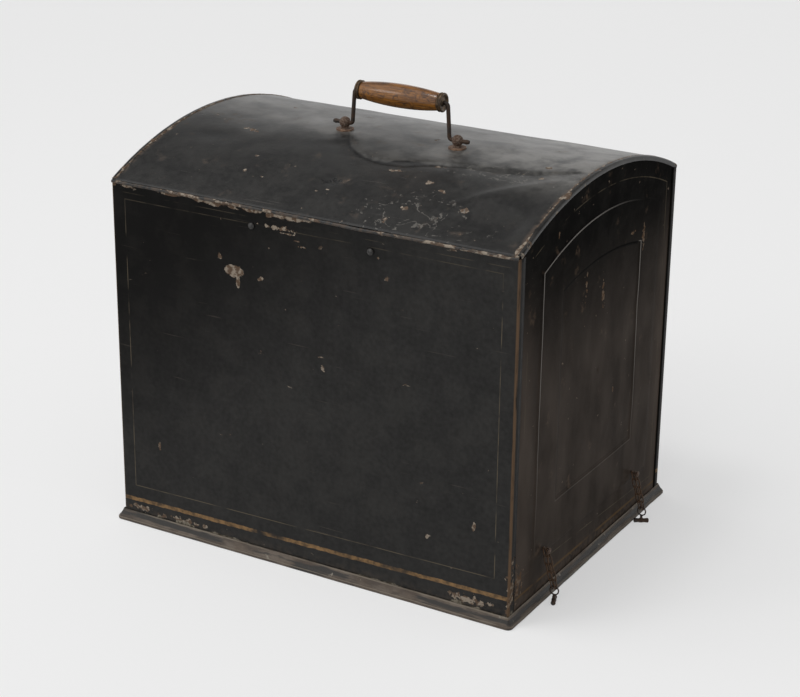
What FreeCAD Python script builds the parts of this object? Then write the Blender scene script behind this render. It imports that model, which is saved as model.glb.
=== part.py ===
import FreeCAD, Part
import math
import os

# Rotary duplicator standing on its baseboard under a domed tinplate carrying cover.
# Origin at the middle of the foot, +X to the right along the front, +Y to the back, +Z up.
# All sizes are millimetres.

V = FreeCAD.Vector
X_AXIS = V(1, 0, 0)
Z_AXIS = V(0, 0, 1)

# Cover
COVER_WIDTH = 457.0
COVER_DEPTH = 353.0
WALL_HEIGHT = 373.0
ARCH_RISE = 40.0
SHEET = 1.0
CORNER_RADIUS = 3.0
LAP_WIDTH = 11.0
SEAM_RADIUS = 2.0
RIM_WIDTH = 4.5

# Raised arched field on each end and the sunk panel within it
EMBOSS_HEIGHT = 1.6
EMBOSS_SLOPE = 2.2
PANEL_MID_Y = 4.0
FIELD_HALF = 132.0
FIELD_LOW = 48.0
FIELD_SPRING = 346.0
FIELD_CROWN = 371.0
SUNK_HALF = 87.0
SUNK_LOW = 97.5
SUNK_SPRING = 314.5
SUNK_CROWN = 325.0

# Moulding round the foot of the cover
HEM_OUT = 7.1
HEM_HEIGHT = 11.5
HEM_FLAT = 3.4
HEM_BEAD = 1.3
HEM_FILLET = 0.8
HEM_TOP = 0.6
HEM_COVE_SIDES = 4
HEM_CORNER_RADIUS = 6.0

# Carrying handle
HANDLE_X = 10.0
HANDLE_Y = -15.0
STUD_SPACING = 130.0
STUD_RISE = 8.5
EYE_RADIUS = 5.75
WASHER_RADIUS = 9.0
WASHER_THICK = 2.0
STUD_SHANK_RADIUS = 2.2
NUT_RADIUS = 5.0
NUT_THICK = 4.0
WIRE_RADIUS = 2.1
WIRE_STUB = 13.0
LEG_INSET = 9.0
LEG_SPLAY = 2.5
LEG_BEND = 3.0
TOP_BEND = 4.0
GRIP_HEIGHT = 36.0
GRIP_RADIUS = 12.0
GRIP_END_RADIUS = 8.8
GRIP_CAP_RADIUS = 10.0
GRIP_CAP_LENGTH = 5.0
GRIP_CAP_CHAMFER = 1.2

# Toggles on chains
CHAIN_Y_FRONT = -108.0
CHAIN_Y_REAR = 100.0
NAIL_Z = 55.0
NAIL_RADIUS = 0.9
NAIL_HEAD_RADIUS = 3.2
NAIL_HEAD_THICK = 1.6
NAIL_OUT = 8.6
NAIL_IN = 3.0
LINK_BAR = 1.3
LINK_WIDTH = 5.2
LINK_BOW_SIDES = 5
LINKS = 5
LINK_PLAY = 0.35
JOINT_PLAY = 0.54
RING_PLAY = 1.1
STRAND_IN = 2.8
STRAND_SPACING = 3.45
STRAND_BOW = 1.05
TOGGLE_OUT = 15.9
TOGGLE_BAR_RADIUS = 2.5
TOGGLE_BAR_LENGTH = 16.0
TOGGLE_NECK_RADIUS = 1.5
TOGGLE_CHAMFER = 1.0
FLOOR_GAP = 0.3
RING_RADIUS = 4.6
RING_WIRE = 0.7
RING_CHAMFER = 0.4
RING_Z = 13.4
TOGGLE_TURN_REAR = 30.0
TOGGLE_TURN_FRONT = 110.0
SLOT_WIDTH = 5.6
SLOT_LENGTH = 18.0
SLOT_Z = 22.0

# Baseboard
COVER_CLEARANCE = 0.3
BOARD_THICK = 30.0
BOARD_EDGE = 2.0
PLATE_WIDTH = 32.0
PLATE_THICK = 2.0
PLATE_LOW = 8.0
PLATE_HIGH = 34.0
POCKET_WIDTH = 20.0
POCKET_DEPTH = 14.0
POCKET_LOW = 12.0

# Side frames
FRAME_INNER = 135.0
FRAME_THICK = 10.0
FOOT_HALF_LENGTH = 118.0
FOOT_OUT = 13.0
FOOT_THICK = 8.0
FOOT_SWEEP_OUT = 0.42
FOOT_SWEEP_UP = 0.28
WAIST_HALF = 62.0
WAIST_Z = 120.0
SHOULDER_Z = 290.0
FRAME_TOP = 347.0
WINDOW_INSET = 25.0
WINDOW_STEP = 52.0
WINDOW_RADIUS = 12.0
WINDOW_SMALL_RADIUS = 9.0
WINDOW_LOW_RADIUS = 14.0
WINDOW_LOW_Z = 76.0
BOSS_RADIUS = 16.0
BOSS_OUT = 1.0
END_OUT = 1.0
BOLT_HEAD_RADIUS = 4.8
BOLT_HEAD = 5.0
BOLT_RADIUS = 3.5
BOLT_DEPTH = 20.0
BOLT_Y = 105.0
TIE_RADIUS = 5.0
TIE_Y = 92.0
TIE_Z = 48.0
TOP_TIE_Z = 334.0
TIE_NUT_RADIUS = 8.0
TIE_NUT_THICK = 6.0

# Printing cylinders, screen and gears
DRUM_RADIUS = 50.0
DRUM_HALF = 125.0
DRUM_WALL = 3.5
DRUM_WEB = 6.0
DRUM_HOLES = 5
DRUM_HOLE_RADIUS = 10.0
DRUM_HOLE_REACH = 29.0
LOWER_Z = 140.0
SHAFT_RADIUS = 8.0
BUSH_RADIUS = 11.0
RUNNING_GAP = 0.06
SCREEN_GAP = 0.3
SCREEN_THICK = 0.8
SCREEN_HALF = 120.0
GEAR_MODULE = 2.0
CYLINDER_TEETH = 36
IDLER_TEETH = 20
GEAR_WIDTH = 12.0
GEAR_GAP = 1.0
GEAR_ADDENDUM = 0.9
GEAR_DEDENDUM = 1.25
TOOTH_ROOT_SHARE = 0.56
TOOTH_TIP_SHARE = 0.20
STUB_OUT = 4.0
IDLER_STUD_RADIUS = 5.0
IDLER_STUD_HEAD = 3.0

# Crank
CRANK_RADIUS = 70.0
CRANK_GAP = 6.0
CRANK_THICK = 10.0
CRANK_HUB_RADIUS = 16.0
CRANK_EYE_RADIUS = 10.0
CRANK_HUB_OUT = 4.0
CRANK_SHAFT_OUT = 2.0
CRANK_WEB_SHARE = 0.8
PIN_RADIUS = 4.0
CRANK_GRIP_LENGTH = 46.0
CRANK_GRIP_RADIUS = 12.0
CRANK_GRIP_SHAPE = ((0.0, 0.72), (0.18, 0.76), (0.4, 0.92), (0.72, 1.0), (1.0, 0.66))
PIN_HEAD_RADIUS = 7.0
PIN_HEAD = 3.0
PIN_PLAY = 1.0

# Ink rollers over the upper cylinder
INK_ROLLER_RADIUS = 13.0
INK_ROLLER_HALF = 120.0
INK_ROLLER_ANGLE = 28.0
INK_SPINDLE_RADIUS = 4.0
INK_SPINDLE_OUT = 3.0

# Impression roller and the yoke that lifts it
ROLLER_RADIUS = 16.0
ROLLER_HALF = 121.0
ROLLER_DROP = 4.0
SPINDLE_RADIUS = 5.0
YOKE_Y = 62.0
YOKE_Z = 50.0
YOKE_SHAFT_RADIUS = 6.0
YOKE_ARM_THICK = 6.0
YOKE_ARM_RADIUS = 10.0
YOKE_ARM_GAP = 5.0
YOKE_WEB_HALF = 8.0
LEVER_THICK = 4.0
LEVER_GAP = 1.0
LEVER_REACH_Y = 56.0
LEVER_REACH_Z = 80.0
LEVER_KNOB_RADIUS = 7.0
LEVER_KNOB_LENGTH = 20.0

# Feed board, side guides and receiving tray
FEED_Z = 90.0
FEED_THICK = 8.0
FEED_HALF = 122.0
FEED_FRONT = -165.0
FEED_BACK = -28.0
BRACKET_WIDTH = 20.0
BRACKET_THICK = 4.0
BRACKET_DROP = 17.0
BRACKET_NEAR = 40.0
BRACKET_FAR = 104.0
BRACKET_FLANGE_FAR = 68.0
GUIDE_X = 110.0
GUIDE_TRAVEL = 40.0
GUIDE_Y = -115.0
GUIDE_LENGTH = 80.0
GUIDE_WIDTH = 12.0
GUIDE_HEIGHT = 9.0
GUIDE_SHEET = 1.5
GUIDE_STUD_RADIUS = 2.2
GUIDE_STUD_OUT = 3.0
GUIDE_SLOT_GAP = 0.4
GUIDE_NUT_RADIUS = 6.0
GUIDE_NUT_THICK = 4.0
TRAY_Z = 80.0
TRAY_HALF = 120.0
TRAY_NEAR = 30.0
TRAY_FAR = 165.0
TRAY_SHEET = 1.2
TRAY_SIDE = 10.0
TRAY_LIP = 25.0

# Sizes that follow from the ones above
HALF_WIDTH = COVER_WIDTH / 2
HALF_DEPTH = COVER_DEPTH / 2
ARCH_RADIUS = (HALF_DEPTH ** 2 + ARCH_RISE ** 2) / (2 * ARCH_RISE)
ARCH_CENTRE_Z = WALL_HEIGHT + ARCH_RISE - ARCH_RADIUS
CYLINDER_SPACING = GEAR_MODULE * (CYLINDER_TEETH + IDLER_TEETH)
UPPER_Z = LOWER_Z + CYLINDER_SPACING
IDLER_Z = LOWER_Z + CYLINDER_SPACING / 2
SCREEN_RADIUS = DRUM_RADIUS + SCREEN_GAP + SCREEN_THICK
ROLLER_Z = LOWER_Z - SCREEN_RADIUS - ROLLER_RADIUS - ROLLER_DROP
FRAME_OUTER = FRAME_INNER + FRAME_THICK
BOARD_HALF_X = HALF_WIDTH - SHEET - COVER_CLEARANCE
BOARD_HALF_Y = HALF_DEPTH - SHEET - COVER_CLEARANCE
PIVOT_Z = ARCH_CENTRE_Z + math.sqrt(ARCH_RADIUS ** 2 - HANDLE_Y ** 2) + STUD_RISE
GRIP_Z = PIVOT_Z + GRIP_HEIGHT
INK_ROLLER_REACH = SCREEN_RADIUS + SCREEN_GAP + INK_ROLLER_RADIUS
INK_ROLLER_Y = INK_ROLLER_REACH * math.sin(math.radians(INK_ROLLER_ANGLE))
INK_ROLLER_Z = UPPER_Z + INK_ROLLER_REACH * math.cos(math.radians(INK_ROLLER_ANGLE))


def save(name, shape):
    shape.exportStep("parts/" + name + ".step")


def box(x_range, y_range, z_range):
    size = [r[1] - r[0] for r in (x_range, y_range, z_range)]
    return Part.makeBox(size[0], size[1], size[2], V(x_range[0], y_range[0], z_range[0]))


def bar_x(radius, x_low, x_high, y, z):
    return Part.makeCylinder(radius, x_high - x_low, V(x_low, y, z), X_AXIS)


def bar_z(radius, z_low, z_high, x, y):
    return Part.makeCylinder(radius, z_high - z_low, V(x, y, z_low), Z_AXIS)


def hex_x(radius, x_low, x_high, y, z):
    corners = [V(x_low, y + radius * math.cos(math.radians(a)), z + radius * math.sin(math.radians(a)))
               for a in range(0, 361, 60)]
    return Part.Face(Part.makePolygon(corners)).extrude(X_AXIS * (x_high - x_low))


def hex_z(radius, z_low, z_high, x, y):
    corners = [V(x + radius * math.cos(math.radians(a)), y + radius * math.sin(math.radians(a)), z_low)
               for a in range(0, 361, 60)]
    return Part.Face(Part.makePolygon(corners)).extrude(Z_AXIS * (z_high - z_low))


def line(a, b):
    return Part.makeLine(a, b)


def arc(a, b, c):
    return Part.Arc(a, b, c).toShape()


def fuse(shapes):
    return shapes[0].multiFuse(shapes[1:]).removeSplitter() if len(shapes) > 1 else shapes[0]


def mirrored_x(shape):
    return shape.mirror(V(0, 0, 0), X_AXIS)


# Cover shell

def arch_wire(x, half, low, spring, crown, mid_y=0.0):
    left, right = mid_y - half, mid_y + half
    corners = [V(x, left, low), V(x, right, low), V(x, right, spring), V(x, left, spring)]
    top = arc(corners[2], V(x, mid_y, crown), corners[3])
    return Part.Wire([line(corners[0], corners[1]), line(corners[1], corners[2]), top,
                      line(corners[3], corners[0])])


def arch_height(radius, y):
    return ARCH_CENTRE_Z + math.sqrt(radius ** 2 - y ** 2)


def arch_band(radius_in, radius_out, x_low, x_high, half_y):
    ends = []
    for radius in (radius_out, radius_in):
        z = arch_height(radius, half_y)
        ends.append((V(x_low, -half_y, z), V(x_low, 0, ARCH_CENTRE_Z + radius), V(x_low, half_y, z)))
    outer, inner = ends
    wire = Part.Wire([arc(*outer), line(outer[2], inner[2]), arc(*inner), line(inner[0], outer[0])])
    return Part.Face(wire).extrude(X_AXIS * (x_high - x_low))


def raised_field(x):
    """Arched field with sloping sides, its base at x, with the arched panel sunk into it."""
    top = x + EMBOSS_HEIGHT
    field = Part.makeLoft([
        arch_wire(x, FIELD_HALF, FIELD_LOW, FIELD_SPRING, FIELD_CROWN, PANEL_MID_Y),
        arch_wire(top, FIELD_HALF - EMBOSS_SLOPE, FIELD_LOW + EMBOSS_SLOPE, FIELD_SPRING - EMBOSS_SLOPE / 2,
                  FIELD_CROWN - EMBOSS_SLOPE, PANEL_MID_Y)], True, True)
    sunk = Part.makeLoft([
        arch_wire(x, SUNK_HALF - EMBOSS_SLOPE, SUNK_LOW + EMBOSS_SLOPE, SUNK_SPRING - EMBOSS_SLOPE / 2,
                  SUNK_CROWN - EMBOSS_SLOPE, PANEL_MID_Y),
        arch_wire(top, SUNK_HALF, SUNK_LOW, SUNK_SPRING, SUNK_CROWN, PANEL_MID_Y)], True, True)
    return field.cut(sunk)


def toggle_slot(x_low, x_high, y):
    half = SLOT_WIDTH / 2
    reach = SLOT_LENGTH / 2 - half
    ends = [bar_x(half, x_low, x_high, y, SLOT_Z + s * reach) for s in (-1, 1)]
    middle = box((x_low, x_high), (y - half, y + half), (SLOT_Z - reach, SLOT_Z + reach))
    return fuse([middle] + ends)


def right_end_panel():
    half_y = HALF_DEPTH - SHEET
    rim_radius = ARCH_RADIUS + SHEET
    inner_x = HALF_WIDTH - SHEET
    outline = arch_wire(inner_x, half_y, 0, arch_height(rim_radius, half_y), ARCH_CENTRE_Z + rim_radius)
    plate = Part.Face(outline).extrude(X_AXIS * SHEET)
    rim = arch_band(ARCH_RADIUS, rim_radius, HALF_WIDTH - RIM_WIDTH, inner_x, half_y - SEAM_RADIUS)
    panel = fuse([plate, rim, raised_field(HALF_WIDTH)]).cut(raised_field(inner_x))
    for y in (CHAIN_Y_FRONT, CHAIN_Y_REAR):
        panel = panel.cut(toggle_slot(inner_x - SHEET, HALF_WIDTH + SHEET, y))
        panel = panel.cut(bar_x(NAIL_RADIUS, inner_x - SHEET, HALF_WIDTH + EMBOSS_HEIGHT + SHEET, y, NAIL_Z))
    return panel


def dome_panel(ends):
    skin = arch_band(ARCH_RADIUS - SHEET, ARCH_RADIUS, SHEET - HALF_WIDTH, HALF_WIDTH - SHEET,
                     HALF_DEPTH - SHEET / 2)
    rolls = [bar_x(SEAM_RADIUS, -HALF_WIDTH, HALF_WIDTH, s * (HALF_DEPTH - SHEET / 2), WALL_HEIGHT - SHEET)
             for s in (-1, 1)]
    dome = fuse([skin] + rolls).cut(fuse(ends))
    for x in stud_places():
        dome = dome.cut(bar_z(STUD_SHANK_RADIUS, WALL_HEIGHT, PIVOT_Z, x, HANDLE_Y))
    return dome


def wall_plan(grow):
    """Plan outline of a wall sheet that turns both corners, grow inwards from its outer face."""
    side = HALF_WIDTH + SHEET - grow
    front = grow - HALF_DEPTH
    back = LAP_WIDTH - HALF_DEPTH
    r = CORNER_RADIUS - grow
    k = r * (1 - math.sqrt(0.5))
    points = [V(-side, back, HEM_HEIGHT), V(-side, front + r, HEM_HEIGHT),
              V(-side + k, front + k, HEM_HEIGHT),
              V(-side + r, front, HEM_HEIGHT), V(side - r, front, HEM_HEIGHT),
              V(side - k, front + k, HEM_HEIGHT), V(side, front + r, HEM_HEIGHT), V(side, back, HEM_HEIGHT)]
    edges = [line(points[0], points[1]), arc(*points[1:4]), line(points[3], points[4]), arc(*points[4:7]),
             line(points[6], points[7])]
    return edges, points[0], points[7]


def front_panel(dome, ends):
    outer, outer_left, outer_right = wall_plan(0.0)
    inner, inner_left, inner_right = wall_plan(SHEET)
    outline = outer + [line(outer_right, inner_right)] + inner + [line(inner_left, outer_left)]
    wire = Part.Wire(Part.__sortEdges__(outline))
    sheet = Part.Face(wire).extrude(Z_AXIS * (WALL_HEIGHT - SHEET - HEM_HEIGHT))
    skirt = box((-HALF_WIDTH, HALF_WIDTH), (-HALF_DEPTH, SHEET - HALF_DEPTH), (0, HEM_HEIGHT))
    return fuse([sheet, skirt]).cut(dome).cut(fuse(ends))


def hem_profile(corner_x, corner_y):
    """Section of the foot moulding where it meets a mitre: flat, bead, fillet, then a cove up to the wall."""
    bead_top = HEM_FLAT + HEM_BEAD
    bead_mid = HEM_BEAD * math.sqrt(0.5)
    cove_out = HEM_OUT - HEM_BEAD - HEM_FILLET
    points = [(0, 0), (HEM_OUT, 0), (HEM_OUT, HEM_FLAT)]
    points += [(HEM_OUT - HEM_BEAD + bead_mid, HEM_FLAT + bead_mid), (HEM_OUT - HEM_BEAD, bead_top)]
    for step in range(HEM_COVE_SIDES + 1):
        angle = math.pi / 2 * step / HEM_COVE_SIDES
        points.append((cove_out + (HEM_TOP - cove_out) * math.sin(angle),
                       HEM_HEIGHT - (HEM_HEIGHT - bead_top) * math.cos(angle)))
    points += [(0, HEM_HEIGHT), (0, 0)]
    return Part.makePolygon([V(corner_x * (HALF_WIDTH + out), corner_y * (HALF_DEPTH + out), z)
                             for out, z in points])


def rounded_plan(half_x, half_y, radius, z_low, z_high):
    block = box((-half_x, half_x), (-half_y, half_y), (z_low, z_high))
    uprights = [e for e in block.Edges if abs(e.Vertexes[0].Z - e.Vertexes[1].Z) > 1e-6]
    return block.makeFillet(radius, uprights)


def foot_moulding():
    corners = [(-1, -1), (1, -1), (1, 1), (-1, 1)]
    limit = rounded_plan(HALF_WIDTH + HEM_OUT, HALF_DEPTH + HEM_OUT, HEM_CORNER_RADIUS, 0, HEM_HEIGHT)
    strips = []
    for i in range(4):
        ends = [hem_profile(*corners[i]), hem_profile(*corners[(i + 1) % 4])]
        strips.append(Part.makeLoft(ends, True, True).common(limit))
    return Part.makeCompound(strips)


# Carrying handle

def stud_places():
    return [HANDLE_X - STUD_SPACING / 2, HANDLE_X + STUD_SPACING / 2]


def handle_washers():
    base = bar_x(ARCH_RADIUS, -HALF_WIDTH, HALF_WIDTH, 0, ARCH_CENTRE_Z)
    top = PIVOT_Z - STUD_RISE + WASHER_THICK
    washers = []
    for x in stud_places():
        disc = bar_z(WASHER_RADIUS, top - WASHER_THICK * 2, top, x, HANDLE_Y)
        disc = disc.cut(bar_z(STUD_SHANK_RADIUS, 0, PIVOT_Z, x, HANDLE_Y))
        washers.append(disc.cut(base))
    return Part.makeCompound(washers)


def nut_top():
    return arch_height(ARCH_RADIUS - SHEET, abs(HANDLE_Y) + NUT_RADIUS)


def handle_studs():
    bore = WIRE_RADIUS + RUNNING_GAP
    seat = PIVOT_Z - STUD_RISE + WASHER_THICK
    half = EYE_RADIUS * 2
    studs = []
    for x in stud_places():
        eye = Part.makeSphere(EYE_RADIUS, V(x, HANDLE_Y, PIVOT_Z))
        eye = eye.cut(box((x - half, x + half), (HANDLE_Y - half, HANDLE_Y + half), (seat - half, seat)))
        shank = bar_z(STUD_SHANK_RADIUS, nut_top() - NUT_THICK - END_OUT, seat + END_OUT, x, HANDLE_Y)
        studs.append(fuse([eye, shank]).cut(bar_x(bore, x - half, x + half, HANDLE_Y, PIVOT_Z)))
    return Part.makeCompound(studs)


def handle_nuts():
    nuts = []
    for x in stud_places():
        nut = hex_z(NUT_RADIUS, nut_top() - NUT_THICK, nut_top(), x, HANDLE_Y)
        nuts.append(nut.cut(bar_z(STUD_SHANK_RADIUS, 0, PIVOT_Z, x, HANDLE_Y)))
    return Part.makeCompound(nuts)


def bent_wire(corners, bends):
    """Centre line through the corners, each inner corner rounded to its bend radius."""
    edges = []
    start = corners[0]
    for i in range(1, len(corners) - 1):
        back = (corners[i - 1] - corners[i]).normalize()
        ahead = (corners[i + 1] - corners[i]).normalize()
        half = back.getAngle(ahead) / 2
        reach = bends[i - 1] / math.tan(half)
        a = corners[i] + back * reach
        b = corners[i] + ahead * reach
        inward = (back + ahead).normalize()
        mid = corners[i] + inward * (bends[i - 1] / math.sin(half) - bends[i - 1])
        edges += [line(start, a), arc(a, mid, b)]
        start = b
    edges.append(line(start, corners[-1]))
    return Part.Wire(edges)


def grip_half():
    return STUD_SPACING / 2 - LEG_INSET - LEG_SPLAY - TOP_BEND


def handle_bail():
    foot = STUD_SPACING / 2 - LEG_INSET
    top = foot - LEG_SPLAY
    end = STUD_SPACING / 2 + WIRE_STUB
    half = [V(HANDLE_X + end, HANDLE_Y, PIVOT_Z), V(HANDLE_X + foot, HANDLE_Y, PIVOT_Z),
            V(HANDLE_X + top, HANDLE_Y, GRIP_Z)]
    other = [V(2 * HANDLE_X - p.x, p.y, p.z) for p in reversed(half)]
    path = bent_wire(half + other, [LEG_BEND, TOP_BEND, TOP_BEND, LEG_BEND])
    section = Part.Wire([Part.makeCircle(WIRE_RADIUS, half[0], X_AXIS)])
    return path.makePipeShell([section], True, False)


def turned(profile, axis_y, axis_z):
    """Solid of revolution about the X direction; (x, radius) points are taken in threes, one arc for each."""
    points = [V(x, axis_y, axis_z + r) for x, r in profile]
    arcs = [arc(*points[i:i + 3]) for i in range(0, len(points) - 2, 2)]
    low = V(points[0].x, axis_y, axis_z)
    high = V(points[-1].x, axis_y, axis_z)
    wire = Part.Wire([line(low, points[0])] + arcs + [line(points[-1], high), line(high, low)])
    return Part.Face(wire).revolve(V(0, axis_y, axis_z), X_AXIS, 360)


def handle_grip():
    half = grip_half() - GRIP_CAP_LENGTH
    barrel = turned([(HANDLE_X - half, GRIP_END_RADIUS), (HANDLE_X, GRIP_RADIUS),
                     (HANDLE_X + half, GRIP_END_RADIUS)], HANDLE_Y, GRIP_Z)
    return barrel.cut(bar_x(WIRE_RADIUS + RUNNING_GAP, HANDLE_X - half, HANDLE_X + half, HANDLE_Y, GRIP_Z))


def grip_caps():
    caps = []
    for side in (-1, 1):
        near = HANDLE_X + side * (grip_half() - GRIP_CAP_LENGTH)
        far = HANDLE_X + side * grip_half()
        cap = bar_x(GRIP_CAP_RADIUS, min(near, far), max(near, far), HANDLE_Y, GRIP_Z)
        rims = [e for e in cap.Edges if isinstance(e.Curve, Part.Circle)]
        cap = cap.makeChamfer(GRIP_CAP_CHAMFER, rims)
        bore = bar_x(WIRE_RADIUS + RUNNING_GAP, min(near, far), max(near, far), HANDLE_Y, GRIP_Z)
        caps.append(cap.cut(bore))
    return Part.makeCompound(caps)


# Chains and toggles, made for the right end

def nail(y):
    shank = bar_x(NAIL_RADIUS, HALF_WIDTH - NAIL_IN, HALF_WIDTH + NAIL_OUT, y, NAIL_Z)
    head = bar_x(NAIL_HEAD_RADIUS, HALF_WIDTH + NAIL_OUT, HALF_WIDTH + NAIL_OUT + NAIL_HEAD_THICK, y, NAIL_Z)
    return fuse([shank, head])


def link(opening):
    """Oval link standing upright in the YZ plane, centred on the origin."""
    rings = []
    for radius in (LINK_WIDTH / 2, LINK_WIDTH / 2 - LINK_BAR):
        half = opening / 2 - (LINK_WIDTH / 2 - LINK_BAR)
        corners = []
        for side in (1, -1):
            for step in range(LINK_BOW_SIDES + 1):
                turn = math.pi * step / LINK_BOW_SIDES
                corners.append(V(-LINK_BAR / 2, side * radius * math.cos(turn),
                                 side * (half + radius * math.sin(turn))))
        rings.append(Part.Face(Part.makePolygon(corners + [corners[0]])).extrude(X_AXIS * LINK_BAR))
    return rings[0].cut(rings[1])


def strand(y, x_top, x_low, bow):
    """Links run from over the nail to under the toggle's ring, bowed sideways by the slack."""
    z_top = NAIL_Z + NAIL_RADIUS + LINK_PLAY
    z_low = RING_Z + RING_RADIUS - RING_WIRE - RING_PLAY
    joints = []
    for i in range(LINKS + 1):
        s = i / LINKS
        joints.append(V(x_top + (x_low - x_top) * s, y + bow * 4 * s * (1 - s), z_top + (z_low - z_top) * s))
    links = []
    for i in range(LINKS):
        run = joints[i] - joints[i + 1]
        one = link(run.Length + JOINT_PLAY)
        one.rotate(V(0, 0, 0), Z_AXIS, 90.0 * (i % 2))
        one.Placement = FreeCAD.Placement((joints[i] + joints[i + 1]) * 0.5,
                                          FreeCAD.Rotation(Z_AXIS, run)).multiply(one.Placement)
        links.append(one)
    return links


def chain(y):
    x_top = HALF_WIDTH + STRAND_IN
    x_low = HALF_WIDTH + TOGGLE_OUT
    half = STRAND_SPACING / 2
    near = strand(y, x_top, x_low - half, -STRAND_BOW)
    far = strand(y, x_top + STRAND_SPACING, x_low + half, STRAND_BOW)
    return Part.makeCompound(near + far)


def toggle(y, turn):
    x = HALF_WIDTH + TOGGLE_OUT
    bar_mid = FLOOR_GAP + TOGGLE_BAR_RADIUS
    half = TOGGLE_BAR_LENGTH / 2
    bar = Part.makeCylinder(TOGGLE_BAR_RADIUS, 2 * half, V(-half, 0, 0), X_AXIS)
    rims = [e for e in bar.Edges if isinstance(e.Curve, Part.Circle)]
    cross = bar.makeChamfer(TOGGLE_CHAMFER, rims)
    cross.rotate(V(0, 0, 0), Z_AXIS, turn)
    cross.translate(V(x, y, bar_mid))
    neck = bar_z(TOGGLE_NECK_RADIUS, bar_mid, RING_Z - RING_RADIUS, x, y)
    eye = []
    for radius in (RING_RADIUS + RING_WIRE, RING_RADIUS - RING_WIRE):
        eye.append(Part.makeCylinder(radius, 2 * RING_WIRE, V(x, y - RING_WIRE, RING_Z), V(0, 1, 0)))
    eye = eye[0].cut(eye[1])
    rims = [e for e in eye.Edges if isinstance(e.Curve, Part.Circle)]
    return fuse([cross, neck, eye.makeChamfer(RING_CHAMFER, rims)])


# Baseboard

def baseboard():
    board = rounded_plan(BOARD_HALF_X, BOARD_HALF_Y, BOARD_EDGE, 0, BOARD_THICK)
    for side in (-1, 1):
        for y in (CHAIN_Y_FRONT, CHAIN_Y_REAR):
            edge = side * BOARD_HALF_X
            pocket_x = tuple(sorted((edge, edge - side * POCKET_DEPTH)))
            plate_x = tuple(sorted((edge, edge - side * PLATE_THICK)))
            half = POCKET_WIDTH / 2
            board = board.cut(box(pocket_x, (y - half, y + half), (POCKET_LOW, BOARD_THICK)))
            half = PLATE_WIDTH / 2
            board = board.cut(box(plate_x, (y - half, y + half), (PLATE_LOW, BOARD_THICK)))
    for x, y in bolt_places():
        board = board.cut(bar_z(BOLT_RADIUS, BOARD_THICK - BOLT_DEPTH, BOARD_THICK, x, y))
    return board


def toggle_plates():
    plates = []
    for side in (-1, 1):
        for y in (CHAIN_Y_FRONT, CHAIN_Y_REAR):
            edge = side * BOARD_HALF_X
            plate_x = tuple(sorted((edge, edge - side * PLATE_THICK)))
            plate = box(plate_x, (y - PLATE_WIDTH / 2, y + PLATE_WIDTH / 2), (PLATE_LOW, PLATE_HIGH))
            plates.append(plate.cut(toggle_slot(plate_x[0], plate_x[1], y)))
    return Part.makeCompound(plates)


# Side frames and what ties them

def bolt_places():
    middle = FRAME_INNER + FRAME_THICK / 2
    reach = FRAME_THICK / 2 + FOOT_OUT / 2
    return [(side * (middle + out * reach), y)
            for side in (-1, 1) for out in (-1, 1) for y in (-BOLT_Y, BOLT_Y)]


def frame_outline():
    foot_z = BOARD_THICK + FOOT_THICK
    foot_y = FOOT_HALF_LENGTH
    bend_y = WAIST_HALF + (foot_y - WAIST_HALF) * FOOT_SWEEP_OUT
    bend_z = foot_z + (WAIST_Z - foot_z) * FOOT_SWEEP_UP
    x = FRAME_INNER
    right = [V(x, foot_y, foot_z), V(x, bend_y, bend_z), V(x, WAIST_HALF, WAIST_Z)]
    left = [V(p.x, -p.y, p.z) for p in right]
    shoulder = V(x, WAIST_HALF, SHOULDER_Z)
    other = V(x, -WAIST_HALF, SHOULDER_Z)
    edges = [line(V(x, -foot_y, BOARD_THICK), V(x, foot_y, BOARD_THICK)),
             line(V(x, foot_y, BOARD_THICK), right[0]), arc(*right), line(right[2], shoulder),
             arc(shoulder, V(x, 0, FRAME_TOP), other), line(other, left[2]), arc(left[2], left[1], left[0]),
             line(left[0], V(x, -foot_y, BOARD_THICK))]
    return Part.Wire(edges)


def frame_windows():
    """Centres and radii of the round lightening windows in a side frame."""
    side = WAIST_HALF - WINDOW_INSET
    windows = [(s * side, IDLER_Z, WINDOW_RADIUS) for s in (-1, 1)]
    windows += [(s * side, IDLER_Z + up * WINDOW_STEP, WINDOW_SMALL_RADIUS)
                for s in (-1, 1) for up in (-1, 1)]
    return windows + [(0, WINDOW_LOW_Z, WINDOW_LOW_RADIUS), (-side, WINDOW_LOW_Z, WINDOW_RADIUS),
                      (-side, YOKE_Z, WINDOW_SMALL_RADIUS)]


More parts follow.
